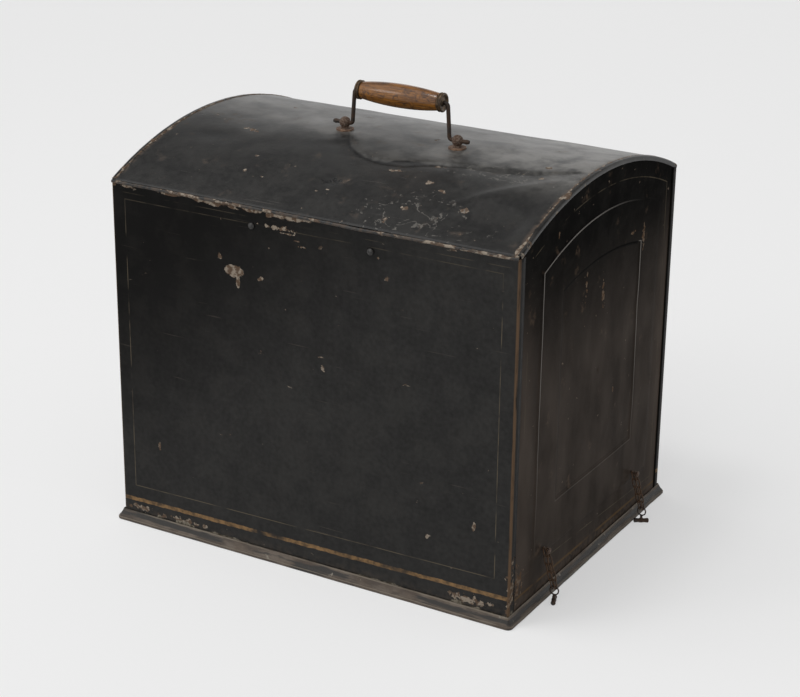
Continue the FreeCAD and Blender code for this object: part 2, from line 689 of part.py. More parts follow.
def right_side_frame():
    web = Part.Face(frame_outline()).extrude(X_AXIS * FRAME_THICK)
    foot = box((FRAME_INNER - FOOT_OUT, FRAME_OUTER + FOOT_OUT), (-FOOT_HALF_LENGTH, FOOT_HALF_LENGTH),
               (BOARD_THICK, BOARD_THICK + FOOT_THICK))
    bosses = [bar_x(BOSS_RADIUS, FRAME_INNER - BOSS_OUT, FRAME_OUTER + BOSS_OUT, 0, z)
              for z in (LOWER_Z, UPPER_Z)]
    frame = fuse([web, foot] + bosses)
    x_low = FRAME_INNER - FOOT_OUT
    x_high = FRAME_OUTER + FOOT_OUT
    holes = [bar_x(r, x_low, x_high, y, z) for y, z, r in frame_windows()]
    holes += [bar_x(BUSH_RADIUS, x_low, x_high, 0, z) for z in (LOWER_Z, UPPER_Z)]
    holes += [bar_x(TIE_RADIUS, x_low, x_high, y, z) for y, z in tie_places()]
    holes.append(bar_x(YOKE_SHAFT_RADIUS + RUNNING_GAP, x_low, x_high, YOKE_Y, YOKE_Z))
    slot = INK_SPINDLE_RADIUS + RUNNING_GAP
    for s in (-1, 1):
        y = s * INK_ROLLER_Y
        holes.append(bar_x(slot, x_low, x_high, y, INK_ROLLER_Z))
        holes.append(box((x_low, x_high), (y - slot, y + slot), (INK_ROLLER_Z, FRAME_TOP)))
    holes += [bar_z(BOLT_RADIUS, BOARD_THICK, BOARD_THICK + FOOT_THICK, x, y)
              for x, y in bolt_places() if x > 0]
    for hole in holes:
        frame = frame.cut(hole)
    return frame


def left_side_frame():
    frame = mirrored_x(right_side_frame())
    return frame.cut(bar_x(IDLER_STUD_RADIUS, -FRAME_OUTER, -FRAME_INNER, 0, IDLER_Z))


def frame_bolts():
    bolts = []
    seat = BOARD_THICK + FOOT_THICK
    for x, y in bolt_places():
        shank = bar_z(BOLT_RADIUS, BOARD_THICK - BOLT_DEPTH, seat, x, y)
        bolts.append(fuse([shank, hex_z(BOLT_HEAD_RADIUS, seat, seat + BOLT_HEAD, x, y)]))
    return Part.makeCompound(bolts)


def tie_places():
    return [(-TIE_Y, TIE_Z), (TIE_Y, TIE_Z), (0, TOP_TIE_Z)]


def tie_rods():
    end = FRAME_OUTER + TIE_NUT_THICK + END_OUT
    return Part.makeCompound([bar_x(TIE_RADIUS, -end, end, y, z) for y, z in tie_places()])


def tie_nuts():
    nuts = []
    for y, z in tie_places():
        for side in (-1, 1):
            near = side * FRAME_OUTER
            far = side * (FRAME_OUTER + TIE_NUT_THICK)
            nut = hex_x(TIE_NUT_RADIUS, min(near, far), max(near, far), y, z)
            nuts.append(nut.cut(bar_x(TIE_RADIUS, min(near, far), max(near, far), y, z)))
    return Part.makeCompound(nuts)


def cylinder_bushes():
    bushes = []
    for z in (LOWER_Z, UPPER_Z):
        for side in (-1, 1):
            low, high = sorted((side * (FRAME_INNER - BOSS_OUT), side * (FRAME_OUTER + BOSS_OUT)))
            bush = bar_x(BUSH_RADIUS, low, high, 0, z)
            bushes.append(bush.cut(bar_x(SHAFT_RADIUS + RUNNING_GAP, low, high, 0, z)))
    return Part.makeCompound(bushes)


# Printing cylinders, screen, gears and crank

def drum(z):
    shell = bar_x(DRUM_RADIUS, -DRUM_HALF, DRUM_HALF, 0, z)
    shell = shell.cut(bar_x(DRUM_RADIUS - DRUM_WALL, -DRUM_HALF, DRUM_HALF, 0, z))
    pieces = [shell]
    for side in (-1, 1):
        outer = side * (DRUM_HALF - DRUM_WEB)
        low, high = sorted((outer, outer - side * DRUM_WEB))
        web = bar_x(DRUM_RADIUS - DRUM_WALL / 2, low, high, 0, z)
        for k in range(DRUM_HOLES):
            a = math.pi / 2 + 2 * math.pi * k / DRUM_HOLES
            y = DRUM_HOLE_REACH * math.cos(a)
            web = web.cut(bar_x(DRUM_HOLE_RADIUS, low, high, y, z + DRUM_HOLE_REACH * math.sin(a)))
        pieces.append(web)
    return fuse(pieces).cut(bar_x(SHAFT_RADIUS, -DRUM_HALF, DRUM_HALF, 0, z))


def gear_low_x():
    return -(FRAME_OUTER + BOSS_OUT + GEAR_GAP + GEAR_WIDTH)


def cylinder_shaft(z, x_high):
    return bar_x(SHAFT_RADIUS, gear_low_x() - STUB_OUT, x_high, 0, z)


def gear(teeth, z, bore, tooth_up):
    """Spur gear in the YZ plane, with a tooth or a gap pointing straight up."""
    pitch_radius = GEAR_MODULE * teeth / 2
    tip = pitch_radius + GEAR_MODULE * GEAR_ADDENDUM
    root = pitch_radius - GEAR_MODULE * GEAR_DEDENDUM
    step = 2 * math.pi / teeth
    start = math.pi / 2 + (0 if tooth_up else step / 2)
    foot = step * TOOTH_ROOT_SHARE
    crest = step * TOOTH_TIP_SHARE
    points = []
    for k in range(teeth):
        a = start + k * step
        tooth = ((a - foot / 2, root), (a - crest / 2, tip), (a + crest / 2, tip), (a + foot / 2, root))
        for angle, radius in tooth:
            points.append(V(gear_low_x(), radius * math.cos(angle), z + radius * math.sin(angle)))
    points.append(points[0])
    blank = Part.Face(Part.makePolygon(points)).extrude(X_AXIS * GEAR_WIDTH)
    return blank.cut(bar_x(bore, gear_low_x(), gear_low_x() + GEAR_WIDTH, 0, z))


def screen_band():
    def loop(radius):
        x = -SCREEN_HALF
        return Part.Wire([
            arc(V(x, radius, UPPER_Z), V(x, 0, UPPER_Z + radius), V(x, -radius, UPPER_Z)),
            line(V(x, -radius, UPPER_Z), V(x, -radius, LOWER_Z)),
            arc(V(x, -radius, LOWER_Z), V(x, 0, LOWER_Z - radius), V(x, radius, LOWER_Z)),
            line(V(x, radius, LOWER_Z), V(x, radius, UPPER_Z))])
    outer = Part.Face(loop(SCREEN_RADIUS)).extrude(X_AXIS * 2 * SCREEN_HALF)
    inner = Part.Face(loop(SCREEN_RADIUS - SCREEN_THICK)).extrude(X_AXIS * 2 * SCREEN_HALF)
    return outer.cut(inner)


def idler_stud():
    end = gear_low_x() - STUB_OUT
    shank = bar_x(IDLER_STUD_RADIUS, end, -FRAME_INNER, 0, IDLER_Z)
    head = hex_x(IDLER_STUD_RADIUS + IDLER_STUD_HEAD, end - IDLER_STUD_HEAD, end, 0, IDLER_Z)
    return fuse([shank, head])


def crank_low_x():
    return FRAME_OUTER + CRANK_GAP


def crank_arm():
    low = crank_low_x()
    high = low + CRANK_THICK
    eye_z = LOWER_Z - CRANK_RADIUS
    hub_half = CRANK_HUB_RADIUS * CRANK_WEB_SHARE
    eye_half = CRANK_EYE_RADIUS * CRANK_WEB_SHARE
    hub = bar_x(CRANK_HUB_RADIUS, low, high + CRANK_HUB_OUT, 0, LOWER_Z)
    eye = bar_x(CRANK_EYE_RADIUS, low, high, 0, eye_z)
    corners = [V(low, -hub_half, LOWER_Z), V(low, hub_half, LOWER_Z), V(low, eye_half, eye_z),
               V(low, -eye_half, eye_z)]
    arm = Part.Face(Part.makePolygon(corners + [corners[0]])).extrude(X_AXIS * CRANK_THICK)
    crank = fuse([hub, eye, arm])
    crank = crank.cut(bar_x(SHAFT_RADIUS, low, high + CRANK_HUB_OUT, 0, LOWER_Z))
    return crank.cut(bar_x(PIN_RADIUS, low, high, 0, eye_z))


def crank_pin():
    low = crank_low_x()
    end = low + CRANK_THICK + CRANK_GRIP_LENGTH + 2 * PIN_PLAY
    z = LOWER_Z - CRANK_RADIUS
    return fuse([bar_x(PIN_RADIUS, low, end, 0, z), bar_x(PIN_HEAD_RADIUS, end, end + PIN_HEAD, 0, z)])


def crank_grip():
    low = crank_low_x() + CRANK_THICK + PIN_PLAY
    z = LOWER_Z - CRANK_RADIUS
    profile = [(low + s * CRANK_GRIP_LENGTH, r * CRANK_GRIP_RADIUS) for s, r in CRANK_GRIP_SHAPE]
    grip = turned(profile, 0, z)
    return grip.cut(bar_x(PIN_RADIUS + RUNNING_GAP, low, low + CRANK_GRIP_LENGTH, 0, z))


# Ink rollers and impression roller

def ink_roller(side):
    y = side * INK_ROLLER_Y
    end = FRAME_OUTER + INK_SPINDLE_OUT
    return fuse([bar_x(INK_ROLLER_RADIUS, -INK_ROLLER_HALF, INK_ROLLER_HALF, y, INK_ROLLER_Z),
                 bar_x(INK_SPINDLE_RADIUS, -end, end, y, INK_ROLLER_Z)])


def yoke_arm_x():
    high = FRAME_INNER - YOKE_ARM_GAP
    return high - YOKE_ARM_THICK, high


def yoke_arms():
    low, high = yoke_arm_x()
    run = math.hypot(YOKE_Y, ROLLER_Z - YOKE_Z)
    slope = math.degrees(math.atan2(ROLLER_Z - YOKE_Z, -YOKE_Y))
    web = box((low, high), (0, run), (-YOKE_WEB_HALF, YOKE_WEB_HALF))
    web.rotate(V(0, 0, 0), X_AXIS, slope)
    web.translate(V(0, YOKE_Y, YOKE_Z))
    arm = fuse([web, bar_x(YOKE_ARM_RADIUS, low, high, YOKE_Y, YOKE_Z),
                bar_x(YOKE_ARM_RADIUS, low, high, 0, ROLLER_Z)])
    arm = arm.cut(bar_x(YOKE_SHAFT_RADIUS, low, high, YOKE_Y, YOKE_Z))
    arm = arm.cut(bar_x(SPINDLE_RADIUS + RUNNING_GAP, low, high, 0, ROLLER_Z))
    return Part.makeCompound([arm, mirrored_x(arm)])


def lever_x():
    low = FRAME_OUTER + LEVER_GAP
    return low, low + LEVER_THICK


def yoke_shaft():
    return bar_x(YOKE_SHAFT_RADIUS, -FRAME_OUTER - END_OUT, lever_x()[1], YOKE_Y, YOKE_Z)


def throw_off_lever():
    low, high = lever_x()
    tip_y = YOKE_Y + LEVER_REACH_Y
    tip_z = YOKE_Z + LEVER_REACH_Z
    run = math.hypot(LEVER_REACH_Y, LEVER_REACH_Z)
    web = box((low, high), (0, run), (-LEVER_KNOB_RADIUS, LEVER_KNOB_RADIUS))
    web.rotate(V(0, 0, 0), X_AXIS, math.degrees(math.atan2(LEVER_REACH_Z, LEVER_REACH_Y)))
    web.translate(V(0, YOKE_Y, YOKE_Z))
    hub = bar_x(YOKE_ARM_RADIUS, low, high, YOKE_Y, YOKE_Z)
    knob = bar_x(LEVER_KNOB_RADIUS, low, low + LEVER_KNOB_LENGTH, tip_y, tip_z)
    return fuse([web, hub, knob]).cut(bar_x(YOKE_SHAFT_RADIUS, low, high, YOKE_Y, YOKE_Z))


def impression_roller():
    roller = bar_x(ROLLER_RADIUS, -ROLLER_HALF, ROLLER_HALF, 0, ROLLER_Z)
    return roller.cut(bar_x(SPINDLE_RADIUS, -ROLLER_HALF, ROLLER_HALF, 0, ROLLER_Z))


def impression_spindle():
    end = yoke_arm_x()[1] + END_OUT
    return bar_x(SPINDLE_RADIUS, -end, end, 0, ROLLER_Z)


# Feed board, side guides and receiving tray

def slot_x(side):
    near = GUIDE_X - GUIDE_TRAVEL - GUIDE_STUD_RADIUS - GUIDE_SLOT_GAP
    far = GUIDE_X + GUIDE_STUD_RADIUS + GUIDE_SLOT_GAP
    return tuple(sorted((side * near, side * far)))


def feed_board():
    board = box((-FEED_HALF, FEED_HALF), (FEED_FRONT, FEED_BACK), (FEED_Z - FEED_THICK, FEED_Z))
    half = GUIDE_STUD_RADIUS + GUIDE_SLOT_GAP
    for side in (-1, 1):
        board = board.cut(box(slot_x(side), (GUIDE_Y - half, GUIDE_Y + half), (FEED_Z - FEED_THICK, FEED_Z)))
    return board


def brackets(top, y_sign):
    y_range = tuple(sorted((y_sign * BRACKET_NEAR, y_sign * BRACKET_FAR)))
    ledge = box((FRAME_INNER - BRACKET_WIDTH, FRAME_INNER), y_range, (top - BRACKET_THICK, top))
    waist = tuple(sorted((y_sign * BRACKET_NEAR, y_sign * BRACKET_FLANGE_FAR)))
    flange = box((FRAME_INNER - BRACKET_THICK, FRAME_INNER), waist, (top - BRACKET_DROP, top))
    bracket = fuse([ledge, flange])
    return Part.makeCompound([bracket, mirrored_x(bracket)])


def side_guide(side):
    lip_near = GUIDE_X - GUIDE_WIDTH / 2
    lip_x = tuple(sorted((side * lip_near, side * (lip_near + GUIDE_SHEET))))
    foot_x = tuple(sorted((side * (GUIDE_X - GUIDE_WIDTH / 2), side * (GUIDE_X + GUIDE_WIDTH / 2))))
    y_range = (GUIDE_Y - GUIDE_LENGTH / 2, GUIDE_Y + GUIDE_LENGTH / 2)
    foot = box(foot_x, y_range, (FEED_Z, FEED_Z + GUIDE_SHEET))
    lip = box(lip_x, y_range, (FEED_Z, FEED_Z + GUIDE_HEIGHT))
    stud_low = FEED_Z - FEED_THICK - GUIDE_NUT_THICK - GUIDE_STUD_OUT
    stud = bar_z(GUIDE_STUD_RADIUS, stud_low, FEED_Z + GUIDE_SHEET + END_OUT, side * GUIDE_X, GUIDE_Y)
    return fuse([foot, lip, stud])


def guide_nut(side):
    top = FEED_Z - FEED_THICK
    nut = bar_z(GUIDE_NUT_RADIUS, top - GUIDE_NUT_THICK, top, side * GUIDE_X, GUIDE_Y)
    return nut.cut(bar_z(GUIDE_STUD_RADIUS, top - GUIDE_NUT_THICK, top, side * GUIDE_X, GUIDE_Y))


def receiving_tray():
    floor = box((-TRAY_HALF, TRAY_HALF), (TRAY_NEAR, TRAY_FAR), (TRAY_Z, TRAY_Z + TRAY_SHEET))
    sides = [box(tuple(sorted((s * TRAY_HALF, s * (TRAY_HALF - TRAY_SHEET)))), (TRAY_NEAR, TRAY_FAR),
                 (TRAY_Z, TRAY_Z + TRAY_SIDE)) for s in (-1, 1)]
    lip = box((-TRAY_HALF, TRAY_HALF), (TRAY_FAR - TRAY_SHEET, TRAY_FAR), (TRAY_Z, TRAY_Z + TRAY_LIP))
    return fuse([floor, lip] + sides)


def build_cover():
    right = right_end_panel()
    left = mirrored_x(right)
    dome = dome_panel([right, left])
    front = front_panel(dome, [right, left])
    save("right_end_panel", right)
    save("left_end_panel", left)
    save("dome_panel", dome)
    save("front_panel", front)
    save("rear_panel", front.mirror(V(0, 0, 0), V(0, 1, 0)))
    save("foot_moulding", foot_moulding())
    save("handle_washers", handle_washers())
    save("handle_studs", handle_studs())
    save("handle_nuts", handle_nuts())
    save("handle_bail", handle_bail())
    save("handle_grip", handle_grip())
    save("grip_caps", grip_caps())
    nails = [nail(y) for y in (CHAIN_Y_FRONT, CHAIN_Y_REAR)]
    save("chain_nails", Part.makeCompound(nails + [mirrored_x(n) for n in nails]))
    places = (("front", CHAIN_Y_FRONT, TOGGLE_TURN_FRONT), ("rear", CHAIN_Y_REAR, TOGGLE_TURN_REAR))
    for place, y, turn in places:
        links = chain(y)
        peg = toggle(y, turn)
        save("chain_" + place + "_right", links)
        save("chain_" + place + "_left", mirrored_x(links))
        save("toggle_" + place + "_right", peg)
        save("toggle_" + place + "_left", mirrored_x(peg))


def build_machine():
    save("baseboard", baseboard())
    save("toggle_plates", toggle_plates())
    save("right_side_frame", right_side_frame())
    save("left_side_frame", left_side_frame())
    save("frame_bolts", frame_bolts())
    save("tie_rods", tie_rods())
    save("tie_nuts", tie_nuts())
    save("cylinder_bushes", cylinder_bushes())
    save("lower_drum", drum(LOWER_Z))
    save("upper_drum", drum(UPPER_Z))
    shaft_end = crank_low_x() + CRANK_THICK + CRANK_HUB_OUT + CRANK_SHAFT_OUT
    save("lower_shaft", cylinder_shaft(LOWER_Z, shaft_end))
    save("upper_shaft", cylinder_shaft(UPPER_Z, FRAME_OUTER + BOSS_OUT + STUB_OUT))
    save("lower_gear", gear(CYLINDER_TEETH, LOWER_Z, SHAFT_RADIUS, True))
    save("upper_gear", gear(CYLINDER_TEETH, UPPER_Z, SHAFT_RADIUS, True))
    save("idler_gear", gear(IDLER_TEETH, IDLER_Z, IDLER_STUD_RADIUS + RUNNING_GAP, False))
    save("idler_stud", idler_stud())
    save("screen_band", screen_band())
    save("crank_arm", crank_arm())
    save("crank_pin", crank_pin())
    save("crank_grip", crank_grip())
    save("front_ink_roller", ink_roller(-1))
    save("rear_ink_roller", ink_roller(1))
    save("yoke_arms", yoke_arms())
    save("yoke_shaft", yoke_shaft())
    save("throw_off_lever", throw_off_lever())
    save("impression_roller", impression_roller())
    save("impression_spindle", impression_spindle())
    save("feed_board", feed_board())
    save("feed_board_brackets", brackets(FEED_Z - FEED_THICK, -1))
    save("receiving_tray", receiving_tray())
    save("tray_brackets", brackets(TRAY_Z, 1))
    for name, side in (("left", -1), ("right", 1)):
        save(name + "_side_guide", side_guide(side))
        save(name + "_guide_nut", guide_nut(side))


os.makedirs("parts", exist_ok=True)
build_cover()
build_machine()
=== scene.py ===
import math

import bmesh
import bpy
from mathutils import Matrix, Vector, noise


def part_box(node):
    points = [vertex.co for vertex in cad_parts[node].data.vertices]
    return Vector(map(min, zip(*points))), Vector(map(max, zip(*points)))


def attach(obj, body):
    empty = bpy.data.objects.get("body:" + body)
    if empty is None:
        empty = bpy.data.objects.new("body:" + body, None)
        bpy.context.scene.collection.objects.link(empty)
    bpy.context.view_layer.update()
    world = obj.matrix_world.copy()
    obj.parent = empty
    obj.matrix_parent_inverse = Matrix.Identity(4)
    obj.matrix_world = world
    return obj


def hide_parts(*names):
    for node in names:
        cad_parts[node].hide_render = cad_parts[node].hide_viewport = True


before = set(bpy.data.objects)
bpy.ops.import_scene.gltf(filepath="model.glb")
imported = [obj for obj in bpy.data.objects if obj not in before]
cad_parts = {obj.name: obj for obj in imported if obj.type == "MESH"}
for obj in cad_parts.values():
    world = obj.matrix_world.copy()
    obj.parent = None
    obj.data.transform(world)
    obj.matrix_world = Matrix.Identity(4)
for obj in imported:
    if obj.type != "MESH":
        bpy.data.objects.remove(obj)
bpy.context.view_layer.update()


# Baseboard
# A thick plank that carries the whole machine. It is sawn from one board, rounded along its edges,
# oiled, and pocketed at both ends behind the toggle plates.

def add(tree, kind, inputs=None, **settings):
    """A node of that kind. Each input is a value or another node's socket."""
    node = tree.nodes.new(kind)
    for name, value in settings.items():
        setattr(node, name, value)
    for name, value in (inputs or {}).items():
        if isinstance(value, bpy.types.NodeSocket):
            tree.links.new(value, node.inputs[name])
        else:
            node.inputs[name].default_value = value
    return node


def calc(tree, operation, a, b=0.0):
    return add(tree, "ShaderNodeMath", {0: a, 1: b}, operation=operation).outputs[0]


def times(tree, a, b):
    return calc(tree, "MULTIPLY", a, b)


def minus(tree, a, b):
    return calc(tree, "SUBTRACT", a, b)


def fade(tree, value, low, high):
    """0 where the value is under low, 1 where it is over high, and smooth between."""
    return add(tree, "ShaderNodeMapRange", {"Value": value, "From Min": low, "From Max": high},
               interpolation_type="SMOOTHSTEP").outputs[0]


def tint(tree, mask, under, over):
    """The colour under, covered by the colour over where the mask is 1."""
    colours = [c if isinstance(c, bpy.types.NodeSocket) else (*c, 1.0) for c in (under, over)]
    return add(tree, "ShaderNodeMix", {0: mask, 6: colours[0], 7: colours[1]}, data_type="RGBA").outputs[2]


def cloud(tree, place, scale, detail=4.0, distortion=0.0):
    return add(tree, "ShaderNodeTexNoise",
               {"Vector": place, "Scale": scale, "Detail": detail, "Distortion": distortion}).outputs[0]


def object_place(tree, stretch=(1.0, 1.0, 1.0)):
    place = add(tree, "ShaderNodeTexCoord").outputs["Object"]
    return add(tree, "ShaderNodeVectorMath", {0: place, 1: stretch}, operation="MULTIPLY").outputs[0]


def new_group(name, inputs, outputs):
    """A shader node group: inputs are name, kind and value, outputs are name and kind."""
    group = bpy.data.node_groups.new(name, "ShaderNodeTree")
    for label, kind, value in inputs:
        group.interface.new_socket(label, in_out="INPUT",
                                   socket_type="NodeSocket" + kind).default_value = value
    for label, kind in outputs:
        group.interface.new_socket(label, in_out="OUTPUT", socket_type="NodeSocket" + kind)
    return group, group.nodes.new("NodeGroupInput").outputs, group.nodes.new("NodeGroupOutput").inputs


def use(tree, group, **inputs):
    node = add(tree, "ShaderNodeGroup", node_tree=group)
    for name, value in inputs.items():
        if isinstance(value, bpy.types.NodeSocket):
            tree.links.new(value, node.inputs[name])
        else:
            node.inputs[name].default_value = value
    return node.outputs


def new_surface(name, **constants):
    """A material and its tree and shader. The constants go straight on the shader's sockets."""
    material = bpy.data.materials.new(name)
    material.use_nodes = True
    shader = material.node_tree.nodes["Principled BSDF"]
    for socket, value in constants.items():
        shader.inputs[socket.replace("_", " ")].default_value = value
    return material, material.node_tree, shader


def paint(tree, shader, colour=None, roughness=None, height=None, depth=0.0005, metallic=None):
    """Links what varies over the surface to the shader."""
    for socket, source in (("Base Color", colour), ("Roughness", roughness), ("Metallic", metallic)):
        if source is not None:
            tree.links.new(source, shader.inputs[socket])
    if height is not None:
        bump = add(tree, "ShaderNodeBump", {"Height": height, "Distance": depth, "Strength": 1.0})
        tree.links.new(bump.outputs[0], shader.inputs["Normal"])


def dress(material, *names):
    """Gives CAD nodes that keep their shape a finish of their own."""
    for name in names:
        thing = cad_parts[name]
        if not thing.material_slots:
            thing.data.materials.append(material)
        for place in thing.material_slots:
            place.material = material


wood_grain, given, result = new_group("wood_grain", [("Size", "Float", 60.0)],
                                      [("Grain", "Float"), ("Pores", "Float")])
tree = wood_grain
along = object_place(tree, (0.07, 1.0, 1.0))
rings = cloud(tree, along, given["Size"], 5.0, 1.6)
tree.links.new(fade(tree, rings, 0.35, 0.65), result["Grain"])
tree.links.new(fade(tree, cloud(tree, along, 900.0, 2.0), 0.52, 0.68), result["Pores"])

edge_wear, given, result = new_group("edge_wear",
                                     [("Radius", "Float", 0.001), ("Ragged", "Float", 300.0)],
                                     [("Mask", "Float")])
tree = edge_wear
rounded = add(tree, "ShaderNodeBevel", {"Radius": given["Radius"]}, samples=6).outputs[0]
true_face = add(tree, "ShaderNodeNewGeometry").outputs["Normal"]
agree = add(tree, "ShaderNodeVectorMath", {0: rounded, 1: true_face},
            operation="DOT_PRODUCT").outputs["Value"]
turned = minus(tree, 1.0, agree)
ragged = cloud(tree, object_place(tree), given["Ragged"], 5.0)
worn = times(tree, turned, fade(tree, ragged, 0.35, 0.6))
tree.links.new(fade(tree, worn, 0.01, 0.08), result["Mask"])

board_wood, tree, shader = new_surface("oiled_plank", Roughness=0.55)
grain = use(tree, wood_grain, Size=70.0)
colour = tint(tree, grain["Grain"], (0.30, 0.18, 0.09), (0.17, 0.09, 0.04))
colour = tint(tree, grain["Pores"], colour, (0.08, 0.045, 0.02))
colour = tint(tree, fade(tree, cloud(tree, object_place(tree), 9.0), 0.45, 0.75), colour, (0.06, 0.04, 0.025))
paint(tree, shader, colour, None, grain["Grain"], 0.0002)
dress(board_wood, "baseboard")


# Toggle plates, bolts, tie rods and shafts
# The bright fittings: iron slot plates let into the ends of the board, and the turned steel rods,
# spindles and hexagon heads that hold the side frames apart and down.

def spread(tree, value, at_low, at_high, low=0.0, high=1.0):
    """A straight run from at_low, where the value is low, to at_high, where it is high."""
    return add(tree, "ShaderNodeMapRange",
               {"Value": value, "From Min": low, "From Max": high, "To Min": at_low,
                "To Max": at_high}).outputs[0]


bright_steel, tree, shader = new_surface("turned_steel", Metallic=1.0)
lathe = cloud(tree, object_place(tree, (1.0, 0.04, 0.04)), 2200.0, 2.0)
stain = fade(tree, cloud(tree, object_place(tree), 55.0, 6.0), 0.52, 0.72)
colour = tint(tree, lathe, (0.50, 0.50, 0.49), (0.60, 0.59, 0.57))
colour = tint(tree, stain, colour, (0.22, 0.17, 0.12))
paint(tree, shader, colour, spread(tree, stain, 0.26, 0.55), lathe, 0.00008)
dress(bright_steel, "frame_bolts", "tie_rods", "tie_nuts", "lower_shaft", "upper_shaft", "idler_stud",
      "crank_pin", "yoke_shaft", "impression_spindle", "lower_drum", "upper_drum")

rust_bloom, given, result = new_group("rust_bloom", [("Size", "Float", 90.0), ("Spread", "Float", 0.5)],
                                      [("Mask", "Float"), ("Grit", "Float")])
tree = rust_bloom
bloom = cloud(tree, object_place(tree), given["Size"], 8.0, 0.6)
edge = minus(tree, 0.82, times(tree, given["Spread"], 0.6))
tree.links.new(fade(tree, minus(tree, bloom, edge), -0.10, 0.10), result["Mask"])
tree.links.new(cloud(tree, object_place(tree), 1500.0, 6.0), result["Grit"])

dark_iron, tree, shader = new_surface("dark_iron", Metallic=0.35)
rust = use(tree, rust_bloom, Size=140.0, Spread=0.55)
colour = tint(tree, rust["Grit"], (0.030, 0.026, 0.024), (0.065, 0.055, 0.048))
colour = tint(tree, rust["Mask"], colour, (0.105, 0.055, 0.030))
paint(tree, shader, colour, spread(tree, rust["Mask"], 0.42, 0.8), rust["Grit"], 0.0003)
dress(dark_iron, "toggle_plates")


# Side frames, crank and brackets
# Cast iron, stove enamelled in black, with the enamel rubbed off to the metal along the edges.

frame_enamel, tree, shader = new_surface("stoved_enamel", Coat_Weight=0.3, Coat_Roughness=0.2)
worn = use(tree, edge_wear, Radius=0.0014, Ragged=260.0)["Mask"]
skin = cloud(tree, object_place(tree), 420.0, 3.0)
colour = tint(tree, fade(tree, cloud(tree, object_place(tree), 22.0), 0.4, 0.7), (0.012, 0.012, 0.013),
              (0.028, 0.026, 0.024))
colour = tint(tree, worn, colour, (0.23, 0.21, 0.19))
paint(tree, shader, colour, spread(tree, skin, 0.2, 0.45), skin, 0.0002, worn)
dress(frame_enamel, "left_side_frame", "right_side_frame", "feed_board_brackets", "tray_brackets",
      "crank_arm", "yoke_arms", "throw_off_lever")


# Bushes and gears
# Bronze bushes pressed into the frames, and machined iron spur gears on the cylinder shafts.

bush_bronze, tree, shader = new_surface("bush_bronze", Metallic=1.0, Roughness=0.34)
tarnish = fade(tree, cloud(tree, object_place(tree), 120.0, 6.0), 0.4, 0.7)
paint(tree, shader, tint(tree, tarnish, (0.58, 0.39, 0.17), (0.26, 0.16, 0.07)), None, tarnish, 0.0001)
dress(bush_bronze, "cylinder_bushes")

gear_iron, tree, shader = new_surface("machined_iron", Metallic=0.9)
turning = cloud(tree, object_place(tree), 900.0, 3.0)
grease = fade(tree, cloud(tree, object_place(tree), 40.0, 5.0), 0.45, 0.62)
colour = tint(tree, grease, tint(tree, turning, (0.30, 0.30, 0.30), (0.40, 0.39, 0.38)), (0.05, 0.045, 0.04))
paint(tree, shader, colour, spread(tree, grease, 0.42, 0.25), turning, 0.0001)
dress(gear_iron, "lower_gear", "upper_gear", "idler_gear")


# Screen band
# An endless band of woven silk stretched over both cylinders. The stencil lies on it, and ink passes
# through it, so the middle is stained dark.

silk, tree, shader = new_surface("inked_silk", Roughness=0.85, Sheen_Weight=0.25)
threads = []
for stretch in ((1.0, 0.0, 0.0), (0.0, 1.0, 1.0)):
    thread = add(tree, "ShaderNodeTexWave",
                 {"Vector": object_place(tree, stretch), "Scale": 260.0, "Distortion": 0.6},
                 bands_direction="DIAGONAL")
    threads.append(thread.outputs[1])
weave = times(tree, threads[0], threads[1])
stain = cloud(tree, object_place(tree, (0.6, 1.0, 1.0)), 14.0, 6.0)
inked = fade(tree, stain, 0.40, 0.58)
colour = tint(tree, inked, tint(tree, weave, (0.34, 0.29, 0.20), (0.56, 0.50, 0.38)), (0.022, 0.021, 0.030))
paint(tree, shader, colour, None, weave, 0.0003)
dress(silk, "screen_band")


# Ink rollers and impression roller
# The ink rollers are cast of composition and stay wet with black ink. The impression roller that
# presses the paper is ground rubber on a steel spindle.

wet_ink, tree, shader = new_surface("inked_composition", Coat_Weight=0.6, Coat_Roughness=0.12)
film = cloud(tree, object_place(tree, (0.5, 1.0, 1.0)), 160.0, 5.0)
colour = tint(tree, film, (0.008, 0.008, 0.011), (0.022, 0.020, 0.028))
paint(tree, shader, colour, spread(tree, film, 0.15, 0.5), film, 0.0003)
dress(wet_ink, "front_ink_roller", "rear_ink_roller")

ground_rubber, tree, shader = new_surface("ground_rubber", Roughness=0.8)
bloom = cloud(tree, object_place(tree, (0.25, 1.0, 1.0)), 220.0, 6.0)
paint(tree, shader, tint(tree, bloom, (0.045, 0.040, 0.038), (0.10, 0.09, 0.085)), None, bloom, 0.0002)
dress(ground_rubber, "impression_roller")


# Feed board, side guides and receiving tray
# A varnished board with nickelled guides that slide in its slots, and a folded tray of japanned tin.

feed_wood, tree, shader = new_surface("varnished_board", Coat_Weight=0.5, Coat_Roughness=0.25, Roughness=0.45)
grain = use(tree, wood_grain, Size=110.0)
colour = tint(tree, grain["Grain"], (0.36, 0.19, 0.075), (0.19, 0.085, 0.03))
colour = tint(tree, grain["Pores"], colour, (0.10, 0.045, 0.018))
paint(tree, shader, colour, None, grain["Grain"], 0.0001)
dress(feed_wood, "feed_board")

nickel, tree, shader = new_surface("nickel_plate", Metallic=1.0)
dull = fade(tree, cloud(tree, object_place(tree), 150.0, 6.0), 0.45, 0.7)
colour = tint(tree, dull, (0.62, 0.59, 0.54), (0.34, 0.31, 0.27))
paint(tree, shader, colour, spread(tree, dull, 0.16, 0.42), dull, 0.00005)
dress(nickel, "left_side_guide", "right_side_guide", "left_guide_nut", "right_guide_nut")


# Worn japan
# The black stoved varnish of all the tinwork. It has dulled and gone hazy, is scratched all over, and is
# missing in specks, rubs and chips that show brown rust and the pale undercoat. Its haze input also
# carries painted sheen, a lighter grey that stands for reflected light on the roof and walls.

def plus(tree, a, b):
    return calc(tree, "ADD", a, b)


